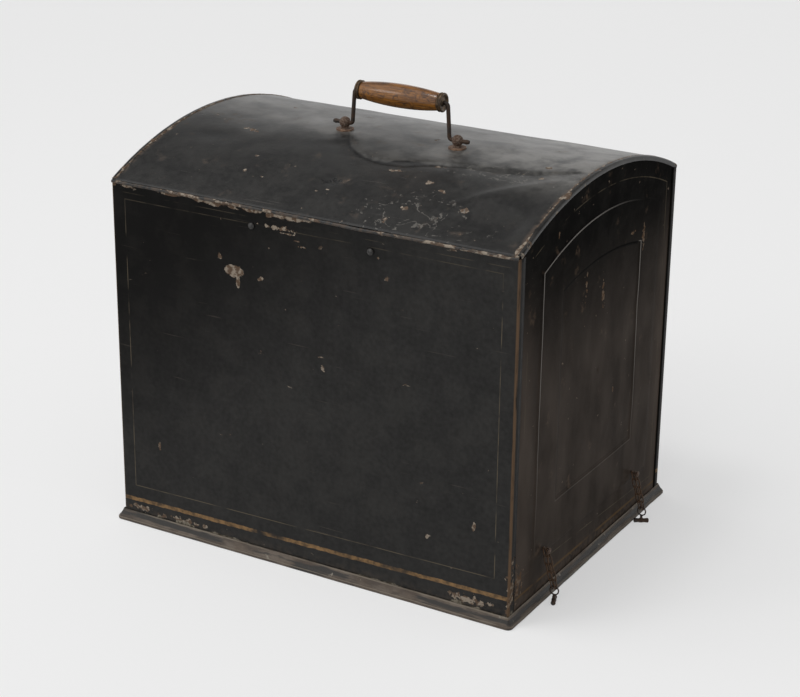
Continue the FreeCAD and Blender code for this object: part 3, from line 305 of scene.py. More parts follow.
def most(tree, *values):
    """The greatest of the values. Where they are distances past edges, it is the furthest."""
    greatest = values[0]
    for value in values[1:]:
        greatest = calc(tree, "MAXIMUM", greatest, value)
    return greatest


japan_wear, given, result = new_group("japan_wear",
                                      [("Haze", "Float", 0.0), ("Specks", "Float", 0.5),
                                       ("Rub", "Float", 0.0), ("Chip", "Float", 0.0)],
                                      [("Color", "Color"), ("Roughness", "Float"), ("Height", "Float")])
tree = japan_wear
place = object_place(tree)
mottle = cloud(tree, place, 36.0, 10.0, 0.3)
fine = cloud(tree, place, 170.0, 6.0)
scratches = []
for tilt, seed in ((0.35, 0.0), (-0.9, 3.0), (1.35, 7.0)):
    turned_place = add(tree, "ShaderNodeMapping",
                       {"Vector": place, "Location": (seed, seed, seed), "Rotation": (tilt, tilt, tilt),
                        "Scale": (1.0, 30.0, 30.0)})
    streak = cloud(tree, turned_place.outputs[0], 13.0, 3.0)
    scratches.append(fade(tree, streak, 0.70, 0.76))
scratch = most(tree, *scratches)
scratch = times(tree, scratch, fade(tree, cloud(tree, place, 17.0, 3.0), 0.42, 0.62))
torn = add(tree, "ShaderNodeTexNoise", {"Vector": place, "Scale": 260.0}).outputs["Color"]
torn = add(tree, "ShaderNodeVectorMath", {0: torn, 1: (0.006, 0.006, 0.006)}, operation="MULTIPLY").outputs[0]
shifted = add(tree, "ShaderNodeVectorMath", {0: place, 1: torn}, operation="ADD").outputs[0]
cells = add(tree, "ShaderNodeTexVoronoi", {"Vector": shifted, "Scale": 42.0})
cell_values = add(tree, "ShaderNodeSeparateColor", {0: cells.outputs["Color"]}).outputs
rare = fade(tree, plus(tree, cell_values[0], times(tree, given["Specks"], 0.30)), 0.96, 0.99)
reach = times(tree, cell_values[1], 0.16)
speck = fade(tree, minus(tree, reach, cells.outputs["Distance"]), 0.0, 0.03)
speck = times(tree, speck, rare)
bare = tint(tree, fade(tree, cloud(tree, place, 230.0, 5.0), 0.45, 0.60), (0.100, 0.066, 0.044),
            (0.27, 0.225, 0.178))
black = tint(tree, fade(tree, plus(tree, mottle, times(tree, fine, 0.35)), 0.58, 0.86),
             (0.0052, 0.0049, 0.0046), (0.0086, 0.0080, 0.0073))
# Where the haze input is high the black turns a lighter grey: hazed varnish, and on the roof and walls also
# painted sheen.
haze_and_sheen_patches = times(tree, given["Haze"], fade(tree, plus(tree, mottle, times(tree, fine, 0.5)), 0.42, 1.00))
colour = tint(tree, haze_and_sheen_patches, black, (0.150, 0.144, 0.134))
colour = tint(tree, times(tree, scratch, 0.55), colour, (0.060, 0.050, 0.042))
grains = add(tree, "ShaderNodeTexVoronoi", {"Vector": shifted, "Scale": 160.0})
grain_values = add(tree, "ShaderNodeSeparateColor", {0: grains.outputs["Color"]}).outputs
dots = fade(tree, minus(tree, times(tree, grain_values[1], 0.22), grains.outputs["Distance"]), 0.0, 0.05)
kept_dots = fade(tree, plus(tree, grain_values[0], times(tree, given["Specks"], 0.12)), 0.97, 0.985)
dots = times(tree, dots, kept_dots)
colour = tint(tree, dots, colour, (0.135, 0.105, 0.080))
rubbed = times(tree, given["Rub"], fade(tree, fine, 0.36, 0.62))
colour = tint(tree, rubbed, colour, (0.125, 0.085, 0.058))
lost = most(tree, speck, given["Chip"])
colour = tint(tree, lost, colour, bare)
tree.links.new(colour, result["Color"])
rough = plus(tree, times(tree, fine, 0.22), 0.27)
rough = plus(tree, rough, times(tree, most(tree, lost, rubbed), 0.35))
tree.links.new(rough, result["Roughness"])
relief = minus(tree, times(tree, fine, 0.18), times(tree, lost, 0.6))
relief = minus(tree, relief, times(tree, scratch, 0.15))
tree.links.new(relief, result["Height"])

tray_tin, tree, shader = new_surface("tray_japan", Specular_IOR_Level=0.4)
worn = use(tree, edge_wear, Radius=0.001, Ragged=300.0)["Mask"]
japan = use(tree, japan_wear, Specks=0.3, Rub=worn)
paint(tree, shader, japan["Color"], japan["Roughness"], japan["Height"], 0.0003)
dress(tray_tin, "receiving_tray")


# Front and rear walls
# Each is one tinplate sheet that turns both corners and laps 11 mm over the ends, where it is
# soldered. Both are lined out in gold over a broad band, much of it rubbed away, and the front has
# two small rivets under its top edge.

MM = 0.001
SHEET = 1.0
LAP = 11.0
CORNER = 3.0
FOOT_GAP = 0.4
WALL_GRID = 4.0
wall_low, wall_high = ([v / MM for v in corner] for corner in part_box("front_panel"))
HALF_WIDTH = wall_high[0] - SHEET
HALF_DEPTH = -wall_low[1]
WALL_TOP = wall_high[2]


def wobble(a, b, size, seed):
    return noise.noise(Vector((a / size, b / size, seed)))


def ease(value, low, high):
    t = min(max((value - low) / (high - low), 0.0), 1.0)
    return t * t * (3 - 2 * t)


def dimple(a, b, centre_a, centre_b, reach_a, reach_b):
    """1 in the middle of an oval dent, falling to 0 round it."""
    return math.exp(-((a - centre_a) / reach_a) ** 2 - ((b - centre_b) / reach_b) ** 2)


def grid_piece(name, grids, material, body, replaced=(), thick=0.0):
    """One mesh from grids of points in millimetres. Each grid is its rows and whether the rows close."""
    points = []
    faces = []
    for rows, closed in grids:
        start = len(points)
        wide = len(rows[0])
        points += [Vector(p) * MM for row in rows for p in row]
        for i in range(len(rows) - 1):
            for j in range(wide if closed else wide - 1):
                k = (j + 1) % wide
                a = start + i * wide
                faces.append((a + j, a + k, a + wide + k, a + wide + j))
    mesh = bpy.data.meshes.new(name)
    mesh.from_pydata(points, [], faces)
    joined = bmesh.new()
    joined.from_mesh(mesh)
    bmesh.ops.remove_doubles(joined, verts=joined.verts, dist=0.000001)
    joined.to_mesh(mesh)
    joined.free()
    mesh.materials.append(material)
    mesh.shade_smooth()
    mesh.set_sharp_from_angle(angle=math.radians(50))
    piece = bpy.data.objects.new(name, mesh)
    bpy.context.scene.collection.objects.link(piece)
    if thick:
        solid = piece.modifiers.new("sheet", "SOLIDIFY")
        solid.thickness = thick * MM
        solid.offset = -1.0
        solid.use_even_offset = True
    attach(piece, body)
    if replaced:
        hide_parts(*replaced)
    return piece


def wall_path(step):
    """Points of the wall's plan with their outward directions, from the left lap round to the right one."""
    side = HALF_WIDTH + SHEET
    centre_x = side - CORNER
    centre_y = CORNER - HALF_DEPTH
    path = [(-side, y, -1.0, 0.0) for y in (LAP - HALF_DEPTH, (LAP - HALF_DEPTH + centre_y) / 2)]
    for i in range(7):
        a = math.pi + math.pi / 2 * i / 6
        path.append((-centre_x + CORNER * math.cos(a), centre_y + CORNER * math.sin(a), math.cos(a),
                     math.sin(a)))
    other_end = [(-x, y, -nx, ny) for x, y, nx, ny in reversed(path)]
    count = round(2 * centre_x / step)
    path += [(-centre_x + 2 * centre_x * i / count, -HALF_DEPTH, 0.0, -1.0) for i in range(1, count)]
    return path + other_end


def wall_shape(x, z, seed, side):
    """How far the sheet stands out from true at a place on the wall."""
    free = ease(HALF_WIDTH - abs(x), 2.0, 40.0) * ease(z, 12.0, 60.0) * ease(WALL_TOP - z, 3.0, 25.0)
    out = free * (0.9 * wobble(x, z, 120.0, seed) + 0.35 * wobble(x, z, 45.0, seed + 5))
    if side > 0:
        out -= 2.6 * dimple(x, z, 80.0, 346.0, 24.0, 9.0) + 1.2 * dimple(x, z, 45.0, 357.0, 22.0, 7.0)
        out -= 0.8 * dimple(x, z, -60.0, 352.0, 10.0, 7.0)
    return out


def wall_rows(seed, side):
    """The sheet's grid from the foot up. The side is 1 for the front and -1 for the rear."""
    levels = [WALL_GRID * i for i in range(int(WALL_TOP / WALL_GRID))] + [WALL_TOP]
    rows = []
    for z in levels:
        row = []
        for x, y, nx, ny in wall_path(WALL_GRID):
            out = wall_shape(x, z, seed, side) if ny < -0.99 else 0.0
            row.append((x + nx * out, side * (y + ny * out), max(z, FOOT_GAP)))
        rows.append(row if side > 0 else row[::-1])
    return rows


def unsigned(tree, value):
    return calc(tree, "ABSOLUTE", value)


def fade_down(tree, value, low, high):
    """1 where the value is under low, 0 where it is over high, and smooth between."""
    return fade(tree, times(tree, value, -1.0), -high, -low)


def axes(tree, wanted):
    """How far a place is along each wanted axis of the piece."""
    outputs = add(tree, "ShaderNodeSeparateXYZ", {0: object_place(tree)}).outputs
    return [outputs[axis] for axis in wanted]


painted_line, given, result = new_group("painted_line",
                                        [("Distance", "Float", 0.0), ("Width", "Float", 0.001),
                                         ("Kept", "Float", 0.5)], [("Mask", "Float")])
tree = painted_line
off_line = unsigned(tree, given["Distance"])
half_line = times(tree, given["Width"], 0.5)
stroke = fade(tree, minus(tree, half_line, off_line), -0.0002, 0.0002)
rubbing = plus(tree, cloud(tree, object_place(tree), 28.0, 7.0), times(tree, given["Kept"], 0.4))
tree.links.new(times(tree, stroke, fade(tree, rubbing, 0.56, 0.72)), result["Mask"])

ragged_spot, given, result = new_group("ragged_spot",
                                       [("Centre", "Vector", (0.0, 0.0, 0.0)),
                                        ("Reach", "Vector", (0.01, 0.01, 0.01)),
                                        ("Ragged", "Float", 0.5)], [("Mask", "Float")])
tree = ragged_spot
place = object_place(tree)
away = add(tree, "ShaderNodeVectorMath", {0: place, 1: given["Centre"]}, operation="SUBTRACT").outputs[0]
away = add(tree, "ShaderNodeVectorMath", {0: away, 1: given["Reach"]}, operation="DIVIDE").outputs[0]
away = add(tree, "ShaderNodeVectorMath", {0: away}, operation="LENGTH").outputs["Value"]
torn = times(tree, minus(tree, cloud(tree, place, 190.0, 6.0), 0.5), given["Ragged"])
inside = minus(tree, 1.0, plus(tree, away, times(tree, torn, 5.0)))
tree.links.new(fade(tree, inside, 0.0, 0.12), result["Mask"])

GOLD = (0.240, 0.142, 0.064)
THIN_GOLD = (0.090, 0.074, 0.052)
LINE_SIDE = 213.0
LINE_TOP = 356.0
LINE_FOOT = 45.0
LINE_SLOPE = 0.0154
RULE_Z = 363.0
BAND_Z = 27.6
BAND_SLOPE = 0.010
SMEAR_Z = 10.5
MARK_DEEP = 9.0


def spots(tree, places):
    """Mask of ragged marks: each is its centre, its reach in three directions, and how ragged it is."""
    masks = []
    for centre, reach, tear in places:
        spot = use(tree, ragged_spot, Centre=[c * MM for c in centre], Reach=[r * MM for r in reach],
                   Ragged=tear)
        masks.append(spot["Mask"])
    return most(tree, *masks)


def face_marks(axis, level, marks):
    """Ragged marks on the flat face that stands at that level of the axis.

    Each is its two places and its two reaches along the face, and how ragged it is."""
    placed = []
    for a, b, reach_a, reach_b, tear in marks:
        centre = [a, b]
        reach = [reach_a, reach_b]
        centre.insert(axis, level)
        reach.insert(axis, MARK_DEEP)
        placed.append((centre, reach, tear))
    return placed


def wall_surface(name, marks):
    material, tree, shader = new_surface(name, Specular_IOR_Level=0.03, Coat_Roughness=0.34)
    x, y, z = axes(tree, "XYZ")
    lined_low = plus(tree, times(tree, x, LINE_SLOPE), LINE_FOOT * MM)
    lined = most(tree, minus(tree, unsigned(tree, x), LINE_SIDE * MM), minus(tree, z, LINE_TOP * MM),
                 minus(tree, lined_low, z))
    low_line = fade_down(tree, z, 50.0 * MM, 80.0 * MM)
    thin = use(tree, painted_line, Distance=lined, Width=0.9 * MM,
               Kept=plus(tree, 0.36, times(tree, low_line, 0.12)))["Mask"]
    rule = minus(tree, z, RULE_Z * MM)
    thin = most(tree, thin, use(tree, painted_line, Distance=rule, Width=0.8 * MM, Kept=0.3)["Mask"])
    thin = times(tree, thin, spread(tree, z, 1.0, 0.45, 0.30, 0.35))
    band_z = minus(tree, z, plus(tree, times(tree, x, BAND_SLOPE), BAND_Z * MM))
    unsteady = minus(tree, cloud(tree, object_place(tree), 150.0, 4.0), 0.5)
    band_z = plus(tree, band_z, times(tree, unsteady, 2.2 * MM))
    band = use(tree, painted_line, Distance=band_z, Width=4.2 * MM, Kept=0.50)["Mask"]
    band = times(tree, band, spread(tree, cloud(tree, object_place(tree), 170.0, 6.0), 0.35, 1.0, 0.36, 0.60))
    near_top = fade(tree, z, 363.0 * MM, 370.0 * MM)
    near_foot = fade_down(tree, z, 10.0 * MM, 24.0 * MM)
    near_side = fade(tree, unsigned(tree, x), 226.9 * MM, 228.3 * MM)
    patchy = cloud(tree, object_place(tree, (0.5, 0.5, 1.0)), 105.0, 8.0, 0.4)
    chips = times(tree, near_top, plus(tree, 0.07, times(tree, fade_down(tree, x, -0.03, 0.05), 0.21)))
    chips = plus(tree, chips, times(tree, near_foot, 0.08))
    chips = fade(tree, plus(tree, chips, patchy), 0.72, 0.77)
    corner = times(tree, near_side, fade(tree, unsigned(tree, y), 172.9 * MM, 174.7 * MM))
    lap_end = times(tree, near_side, fade_down(tree, unsigned(tree, y), 167.0 * MM, 169.0 * MM))
    rubs = times(tree, near_foot, 0.15)
    if marks:
        chips = most(tree, chips, spots(tree, marks))
    # Painted sheen with dull rubbed varnish: each wall turns a lighter grey towards its foot and its right
    # end.
    downward = fade(tree, minus(tree, times(tree, x, 0.8), z), -470.0 * MM, -170.0 * MM)
    low_haze_and_sheen = times(tree, downward, 0.13)
    japan = use(tree, japan_wear, Haze=times(tree, low_haze_and_sheen, 0.35), Specks=0.3, Rub=rubs, Chip=chips)
    gold_left = minus(tree, 1.0, chips)
    dull_part = spread(tree, cloud(tree, object_place(tree), 210.0, 8.0), 0.30, 0.75, 0.3, 0.7)
    rubbed_dull_and_sheen = times(tree, low_haze_and_sheen, dull_part)
    colour = tint(tree, times(tree, rubbed_dull_and_sheen, gold_left), japan["Color"], (0.150, 0.147, 0.142))
    colour = tint(tree, times(tree, thin, gold_left), colour, THIN_GOLD)
    colour = tint(tree, times(tree, band, gold_left), colour, GOLD)
    lumps = cloud(tree, object_place(tree, (0.5, 0.5, 0.5)), 62.0, 9.0, 0.6)
    smear_top = times(tree, minus(tree, lumps, 0.44), 42.0 * MM)
    smear_top = times(tree, smear_top, fade(tree, unsigned(tree, x), 0.02, 0.17))
    smear = fade(tree, minus(tree, smear_top, minus(tree, z, SMEAR_Z * MM)), 0.0, 0.9 * MM)
    plaster = tint(tree, fade(tree, cloud(tree, object_place(tree), 240.0, 6.0), 0.40, 0.62),
                   (0.062, 0.050, 0.036), (0.215, 0.190, 0.148))
    colour = tint(tree, smear, colour, plaster)
    long_worn = fade(tree, cloud(tree, object_place(tree, (1.0, 1.0, 0.12)), 210.0, 6.0), 0.30, 0.52)
    colour = tint(tree, lap_end, colour, (0.005, 0.0045, 0.004))
    colour = tint(tree, times(tree, corner, long_worn), colour, (0.138, 0.088, 0.054))
    paint(tree, shader, colour, japan["Roughness"], japan["Height"], 0.0004)
    polish = spread(tree, downward, 0.05, 0.24)
    uneven = spread(tree, cloud(tree, object_place(tree, (1.0, 1.0, 0.7)), 75.0, 10.0, 0.2), 0.7, 1.3)
    polish = times(tree, polish, minus(tree, 1.0, near_side))
    tree.links.new(times(tree, polish, uneven), shader.inputs["Coat Weight"])
    return material


front_marks = face_marks(1, -HALF_DEPTH,
                         [(-82.0, 304.0, 11.5, 6.8, 0.20), (-77.5, 294.5, 2.6, 7.5, 0.22),
                          (-52.0, 301.5, 3.2, 2.0, 0.8), (0.0, 342.5, 3.6, 1.0, 1.1),
                          (-9.0, 347.5, 4.0, 0.7, 1.1), (-22.0, 353.0, 6.0, 0.7, 1.1),
                          (80.0, 346.0, 1.6, 1.4, 0.6), (-213.0, 292.0, 3.0, 1.0, 0.8),
                          (-180.0, 92.0, 1.2, 4.0, 0.9), (190.0, 96.0, 1.5, 4.0, 1.0),
                          (-34.0, 357.0, 12.0, 1.6, 1.3), (-205.0, 17.0, 14.0, 3.0, 0.9),
                          (-150.0, 15.0, 22.0, 2.2, 1.2), (185.0, 19.0, 16.0, 3.0, 1.2)])
corner_mark = ((229.0, -171.0, 36.0), (3.0, 5.0, 22.0), 1.3)
grid_piece("front_wall_sheet", [(wall_rows(1.0, 1), False)],
           wall_surface("lined_japan_front", front_marks + [corner_mark]), "cover",
           ["front_panel"], SHEET)
grid_piece("rear_wall_sheet", [(wall_rows(21.0, -1), False)], wall_surface("lined_japan_rear", []),
           "cover", ["rear_panel"], SHEET)


def turned_rows(profile, count, place):
    """Rows of a turned piece: the profile is (along, radius), and place puts (along, a, b) into the frame."""
    turns = [2 * math.pi * k / count for k in range(count)]
    return [[place(along, radius * math.cos(a), radius * math.sin(a)) for a in turns] for along,
            radius in profile]


RIVET = [(-0.4, 3.4), (0.3, 3.3), (0.9, 2.8), (1.3, 1.9), (1.5, 0.8), (1.5, 0.05)]
rivet_tin, tree, shader = new_surface("dull_rivet", Metallic=0.3)
dull = cloud(tree, object_place(tree), 420.0, 4.0)
paint(tree, shader,
      tint(tree, fade(tree, dull, 0.40, 0.62), (0.018, 0.017, 0.016), (0.052, 0.050, 0.047)),
      spread(tree, dull, 0.35, 0.65), dull, 0.0002)
grid_piece("front_wall_rivets",
           [(turned_rows(RIVET, 20, lambda s, a, b, x=x, z=z: (x - a, -HALF_DEPTH - s, z + b)), True)
            for x, z in ((-61.2, 353.8), (72.7, 351.5))], rivet_tin, "cover")


# Domed top and its seams
# The roof is a rolled sheet whose long edges are wired over the walls. Years of weight on it have
# creased it under the handle and pushed in its right front corner.

dome_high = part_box("dome_panel")[1][2] / MM
ARCH_RISE = 40.0
ARCH_RADIUS = (HALF_DEPTH ** 2 + ARCH_RISE ** 2) / (2 * ARCH_RISE)
ARCH_CENTRE = dome_high - ARCH_RADIUS
HANDLE_X = 10.0
HANDLE_Y = -15.0
STUD_SPACING = 130.0
CREASE = ((-33.0, -36.0), (-27.0, -50.0), (-8.0, -67.0), (23.0, -75.0), (48.0, -73.0), (71.0, -62.0),
          (100.0, -55.0), (139.0, -53.0), (177.0, -46.0), (212.0, -27.0))
CREASE_X = 27.0
CREASE_Y = -2.0
CREASE_RADIUS = 73.2
FOLD_SLOPE = 0.25
FOLD_FRONT = 75.2
FOLD = ((118.0, -138.0), (134.0, -126.0), (152.0, -107.0), (185.0, -77.0), (212.0, -48.0))


def off_line_by(x, y, line):
    """How far a place is from a line of points, below 0 in front of it, and the share along the line."""
    best = None
    for i in range(len(line) - 1):
        ax, ay = line[i]
        bx, by = line[i + 1]
        ux, uy = bx - ax, by - ay
        t = min(max(((x - ax) * ux + (y - ay) * uy) / (ux * ux + uy * uy), 0.0), 1.0)
        dx, dy = x - ax - t * ux, y - ay - t * uy
        distance = math.hypot(dx, dy)
        if best is None or distance < best[0]:
            best = (distance, 1.0 if ux * dy - uy * dx >= 0 else -1.0, (i + t) / (len(line) - 1))
    return best[0] * best[1], best[2]


def dome_shape(x, y):
    """How far the roof stands above its true arch."""
    free = ease(HALF_WIDTH - abs(x), 1.0, 26.0) * ease(HALF_DEPTH - abs(y), 1.0, 22.0)
    out = 1.0 * wobble(x, y, 105.0, 31.0) + 0.45 * wobble(x, y, 38.0, 36.0) - 0.25
    distance, share = off_line_by(x, y, CREASE)
    strength = ease(share, 0.0, 0.12) * (1.0 - 0.55 * ease(share, 0.55, 1.0))
    # The crease has a soft slope in front and a sharp step behind.
    out -= 3.0 * strength * math.exp(distance / 20.0 if distance < 0 else -distance / 1.8)
    distance, share = off_line_by(x, y, FOLD)
    along_fold = math.sin(math.pi * share) ** 0.5
    out += 1.5 * along_fold * math.exp(-(distance / (8.0 if distance > 0 else 11.0)) ** 2)
    out -= 4.2 * dimple(x, y, 188.0, -135.0, 30.0, 26.0)
    out -= 1.6 * dimple(x, y, -5.0, -123.0, 9.0, 6.0)
    out -= 1.3 * dimple(x, y, -172.0, -80.0, 24.0, 14.0)
    out -= 1.2 * dimple(x, y, -95.0, 20.0, 40.0, 30.0)
    out -= 1.4 * dimple(x, y, 110.0, 70.0, 36.0, 30.0)
    near_stud = min(math.hypot(x - HANDLE_X - s * STUD_SPACING / 2, y - HANDLE_Y) for s in (-1, 1))
    return min(out, 0.6) * free * ease(near_stud, 9.0, 24.0)


def dome_rows():
    half = math.asin((HALF_DEPTH - 0.5) / ARCH_RADIUS)
    columns = 152
    around = 120
    rows = []
    for i in range(columns + 1):
        x = (HALF_WIDTH - SHEET) * (2 * i / columns - 1)
        row = []
        for j in range(around + 1):
            a = half * (2 * j / around - 1)
            out = dome_shape(x, ARCH_RADIUS * math.sin(a))
            row.append((x, (ARCH_RADIUS + out) * math.sin(a),
                        ARCH_CENTRE + (ARCH_RADIUS + out) * math.cos(a)))
        rows.append(row)
    return rows


def diagonal(tree, a, b):
    """The straight distance of a place that is a and b away along two axes."""
    return calc(tree, "SQRT", plus(tree, times(tree, a, a), times(tree, b, b)))


dome_japan, tree, shader = new_surface("dust_and_sheen_japan_dome", Specular_IOR_Level=0.34)
x, y = axes(tree, "XY")
drift = times(tree, minus(tree, cloud(tree, object_place(tree), 14.0, 5.0), 0.5), 0.12)
# Dust with painted sheen: the back of the roof turns a lighter grey, standing for reflected light as well as
# dust.
back_dust_and_sheen = fade(tree, plus(tree, y, drift), -62.0 * MM, 0.0)
streaky = cloud(tree, object_place(tree, (0.35, 1.0, 1.0)), 30.0, 6.0)
# Painted sheen: a lighter grey zone over the right part of the roof, from a little behind its front edge.
right_back_sheen = times(tree, fade(tree, plus(tree, x, drift), 60.0 * MM, 190.0 * MM),
                   fade(tree, plus(tree, y, drift), -110.0 * MM, -30.0 * MM))
crease_x = minus(tree, x, CREASE_X * MM)
crease_y = plus(tree, y, -CREASE_Y * MM)
crease_out = minus(tree, diagonal(tree, crease_x, crease_y), CREASE_RADIUS * MM)
fold_out = minus(tree, minus(tree, times(tree, crease_x, FOLD_SLOPE), FOLD_FRONT * MM), y)
wavy = minus(tree, cloud(tree, object_place(tree), 24.0, 3.0), 0.5)
fold_out = plus(tree, fold_out, times(tree, wavy, 0.016))
right_part = fade(tree, crease_x, 0.0, 0.012)
out_of_crease = spread(tree, right_part, crease_out, fold_out)
# Dust with a painted highlight: the roof behind the crease's sharp step turns a streaky lighter grey.
crease_dust_and_highlight = fade_down(tree, out_of_crease, -3.0 * MM, 0.5 * MM)
crease_dust_and_highlight = times(tree, crease_dust_and_highlight, spread(tree, streaky, 0.26, 0.52, 0.35, 0.65))
# Dust and painted sheen together: how far the roof's black turns a lighter grey.
dust_and_sheen = plus(tree, times(tree, back_dust_and_sheen, 0.62), times(tree, streaky, 0.14))
dust_and_sheen = most(tree, dust_and_sheen, crease_dust_and_highlight)
dust_and_sheen = plus(tree, dust_and_sheen, times(tree, right_back_sheen, 0.72))
near_rim = fade(tree, unsigned(tree, x), 219.0 * MM, 224.0 * MM)
patchy = cloud(tree, object_place(tree), 52.0, 7.0)
chips = fade(tree, plus(tree, patchy, times(tree, near_rim, 0.16)), 0.72, 0.75)
dome_marks = [((47.0, -86.0, 400.0), (6.0, 3.0, 30.0), 1.0),
              ((81.0, -62.0, 400.0), (8.0, 2.0, 30.0), 1.0),
              ((90.0, -97.0, 400.0), (3.0, 4.0, 30.0), 0.9),
              ((109.0, -108.0, 400.0), (4.0, 2.5, 30.0), 1.0),
              ((45.0, -129.0, 390.0), (2.5, 1.5, 30.0), 0.8),
              ((79.0, -161.0, 380.0), (3.5, 3.0, 30.0), 1.0),
              ((148.0, -130.0, 390.0), (4.0, 3.0, 30.0), 1.1),
              ((-139.0, -57.0, 400.0), (7.0, 3.0, 30.0), 1.3),
              ((1.0, -136.0, 390.0), (3.0, 1.2, 30.0), 0.8),
              ((89.0, -143.0, 390.0), (4.0, 2.0, 30.0), 1.1)]
chips = most(tree, chips, spots(tree, dome_marks))
rubs = most(tree, times(tree, near_rim, 0.5), times(tree, fade(tree, patchy, 0.58, 0.72), 0.22))
japan = use(tree, japan_wear, Haze=dust_and_sheen, Specks=0.7, Rub=rubs, Chip=chips)
crack_place = add(tree, "ShaderNodeMapping",
                  {"Vector": object_place(tree), "Scale": (1.0, 1.0, 0.0)}).outputs[0]
veins = unsigned(tree, minus(tree, cloud(tree, crack_place, 26.0, 9.0, 1.4), 0.5))
crazed = spots(tree,
               [((112.0, -158.0, 380.0), (44.0, 28.0, 40.0), 1.2),
                ((150.0, -60.0, 400.0), (40.0, 10.0, 40.0), 1.2)])
craze = times(tree, fade_down(tree, veins, 0.003, 0.016), crazed)
splits = unsigned(tree, minus(tree, cloud(tree, crack_place, 70.0, 2.0, 0.6), 0.5))
split = times(tree, fade_down(tree, splits, 0.016, 0.030),
              spots(tree, [((-5.0, -123.0, 390.0), (10.0, 6.0, 40.0), 0.5)]))
stain = spots(tree, [((-174.0, -79.0, 395.0), (24.0, 10.0, 40.0), 0.35)])
colour = tint(tree, times(tree, craze, 0.7), japan["Color"], (0.15, 0.140, 0.125))
colour = tint(tree, times(tree, stain, 0.7), colour, (0.010, 0.010, 0.010))
colour = tint(tree, split, colour, (0.004, 0.004, 0.004))
# Painted shade: a near black line along the crease, where its step lies in shade.
crease_painted_shade = fade_down(tree, unsigned(tree, out_of_crease), 0.4 * MM, 2.2 * MM)
crease_painted_shade = times(tree, crease_painted_shade,
                    times(tree, fade_down(tree, y, -0.036, -0.026), fade_down(tree, x, 0.02, 0.15)))
colour = tint(tree, times(tree, crease_painted_shade, 0.85), colour, (0.006, 0.006, 0.006))
paint(tree, shader, colour, japan["Roughness"], minus(tree, japan["Height"], split), 0.0006)
grid_piece("dome_sheet", [(dome_rows(), False)], dome_japan, "cover", ["dome_panel"], SHEET)

seam_japan, tree, shader = new_surface("chipped_seam", Specular_IOR_Level=0.4)
stretched = object_place(tree, (0.55, 1.0, 1.0))
x = axes(tree, "X")[0]
left_third = fade_down(tree, x, -0.04, 0.02)
right_third = fade(tree, x, 0.12, 0.17)
lost = plus(tree, cloud(tree, stretched, 95.0, 9.0, 0.9),
            times(tree, most(tree, left_third, right_third), 0.070))
lost = fade(tree, lost, 0.56, 0.61)
japan = use(tree, japan_wear, Haze=0.1, Specks=0.8, Rub=0.45, Chip=lost)
paint(tree, shader, japan["Color"], japan["Roughness"], japan["Height"], 0.0009)
SEAM = 2.0


def seam_rows(side):
    """The wired edge over a long wall, uneven, and pushed in at one place on the front."""
    rows = []
    count = 150
    for i in range(count + 1):
        x = HALF_WIDTH * (2 * i / count - 1)
        lift = 0.35 * wobble(x, side, 30.0, 51.0) - 0.8 * dimple(x, 0.0, 62.0, 0.0, 30.0, 1.0) * (side < 0)
        radius = SEAM + 0.22 * wobble(x, side, 9.0, 55.0) - 0.22
        rows.append([(x, side * (HALF_DEPTH - 0.5 + radius * math.cos(a)),
                      WALL_TOP + lift + radius * math.sin(a))
                     for a in (-side * 2 * math.pi * k / 12 for k in range(12))])
    return rows


grid_piece("wall_top_seams", [(seam_rows(-1), True), (seam_rows(1), True)], seam_japan, "cover")


# End walls
# Each end is stamped from one sheet with a raised arched field and a panel sunk into it, and its top
# edge is turned over the roof as a narrow rim. Two slots low down let the toggles through.

end_low, end_high = ([v / MM for v in corner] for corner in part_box("right_end_panel"))
RIM_IN = HALF_WIDTH - end_low[0]
EMBOSS = end_high[0] - HALF_WIDTH
RIM_RADIUS = ARCH_RADIUS + SHEET
END_HALF = HALF_DEPTH - SHEET
PANEL_Y = 4.0
SLOT_Y = (-108.0, 100.0)
SLOT_Z = 22.0
SLOT_HALF = 6.2
SLOT_ROUND = 2.8
END_FACE = 229.0
END_LINE_SIDE = 154.0
END_LINE_FOOT = 36.0
END_LINE_SLOPE = 0.042
END_LINE_IN = 20.0
END_BAND_Z = 21.0
END_BAND_SLOPE = 0.0115
PANEL_SIDE = 80.0
SINK_RUN = 1.6


def arch_loop(half, low, spring, crown, mid):
    """Points round an arched panel, from its lower left corner: foot, right side, arch and left side."""
    straight = 60
    bowed = 80
    rise = crown - spring
    radius = (half ** 2 + rise ** 2) / (2 * rise)
    reach = math.asin(min(half / radius, 1.0))
    loop = [(mid + half * (2 * i / straight - 1), low) for i in range(straight)]
    loop += [(mid + half, low + (spring - low) * i / straight) for i in range(straight)]
    for i in range(bowed):
        a = reach * (1 - 2 * i / bowed)
        loop.append((mid + radius * math.sin(a), crown - radius + radius * math.cos(a)))
    return loop + [(mid - half, spring - (spring - low) * i / straight) for i in range(straight)]


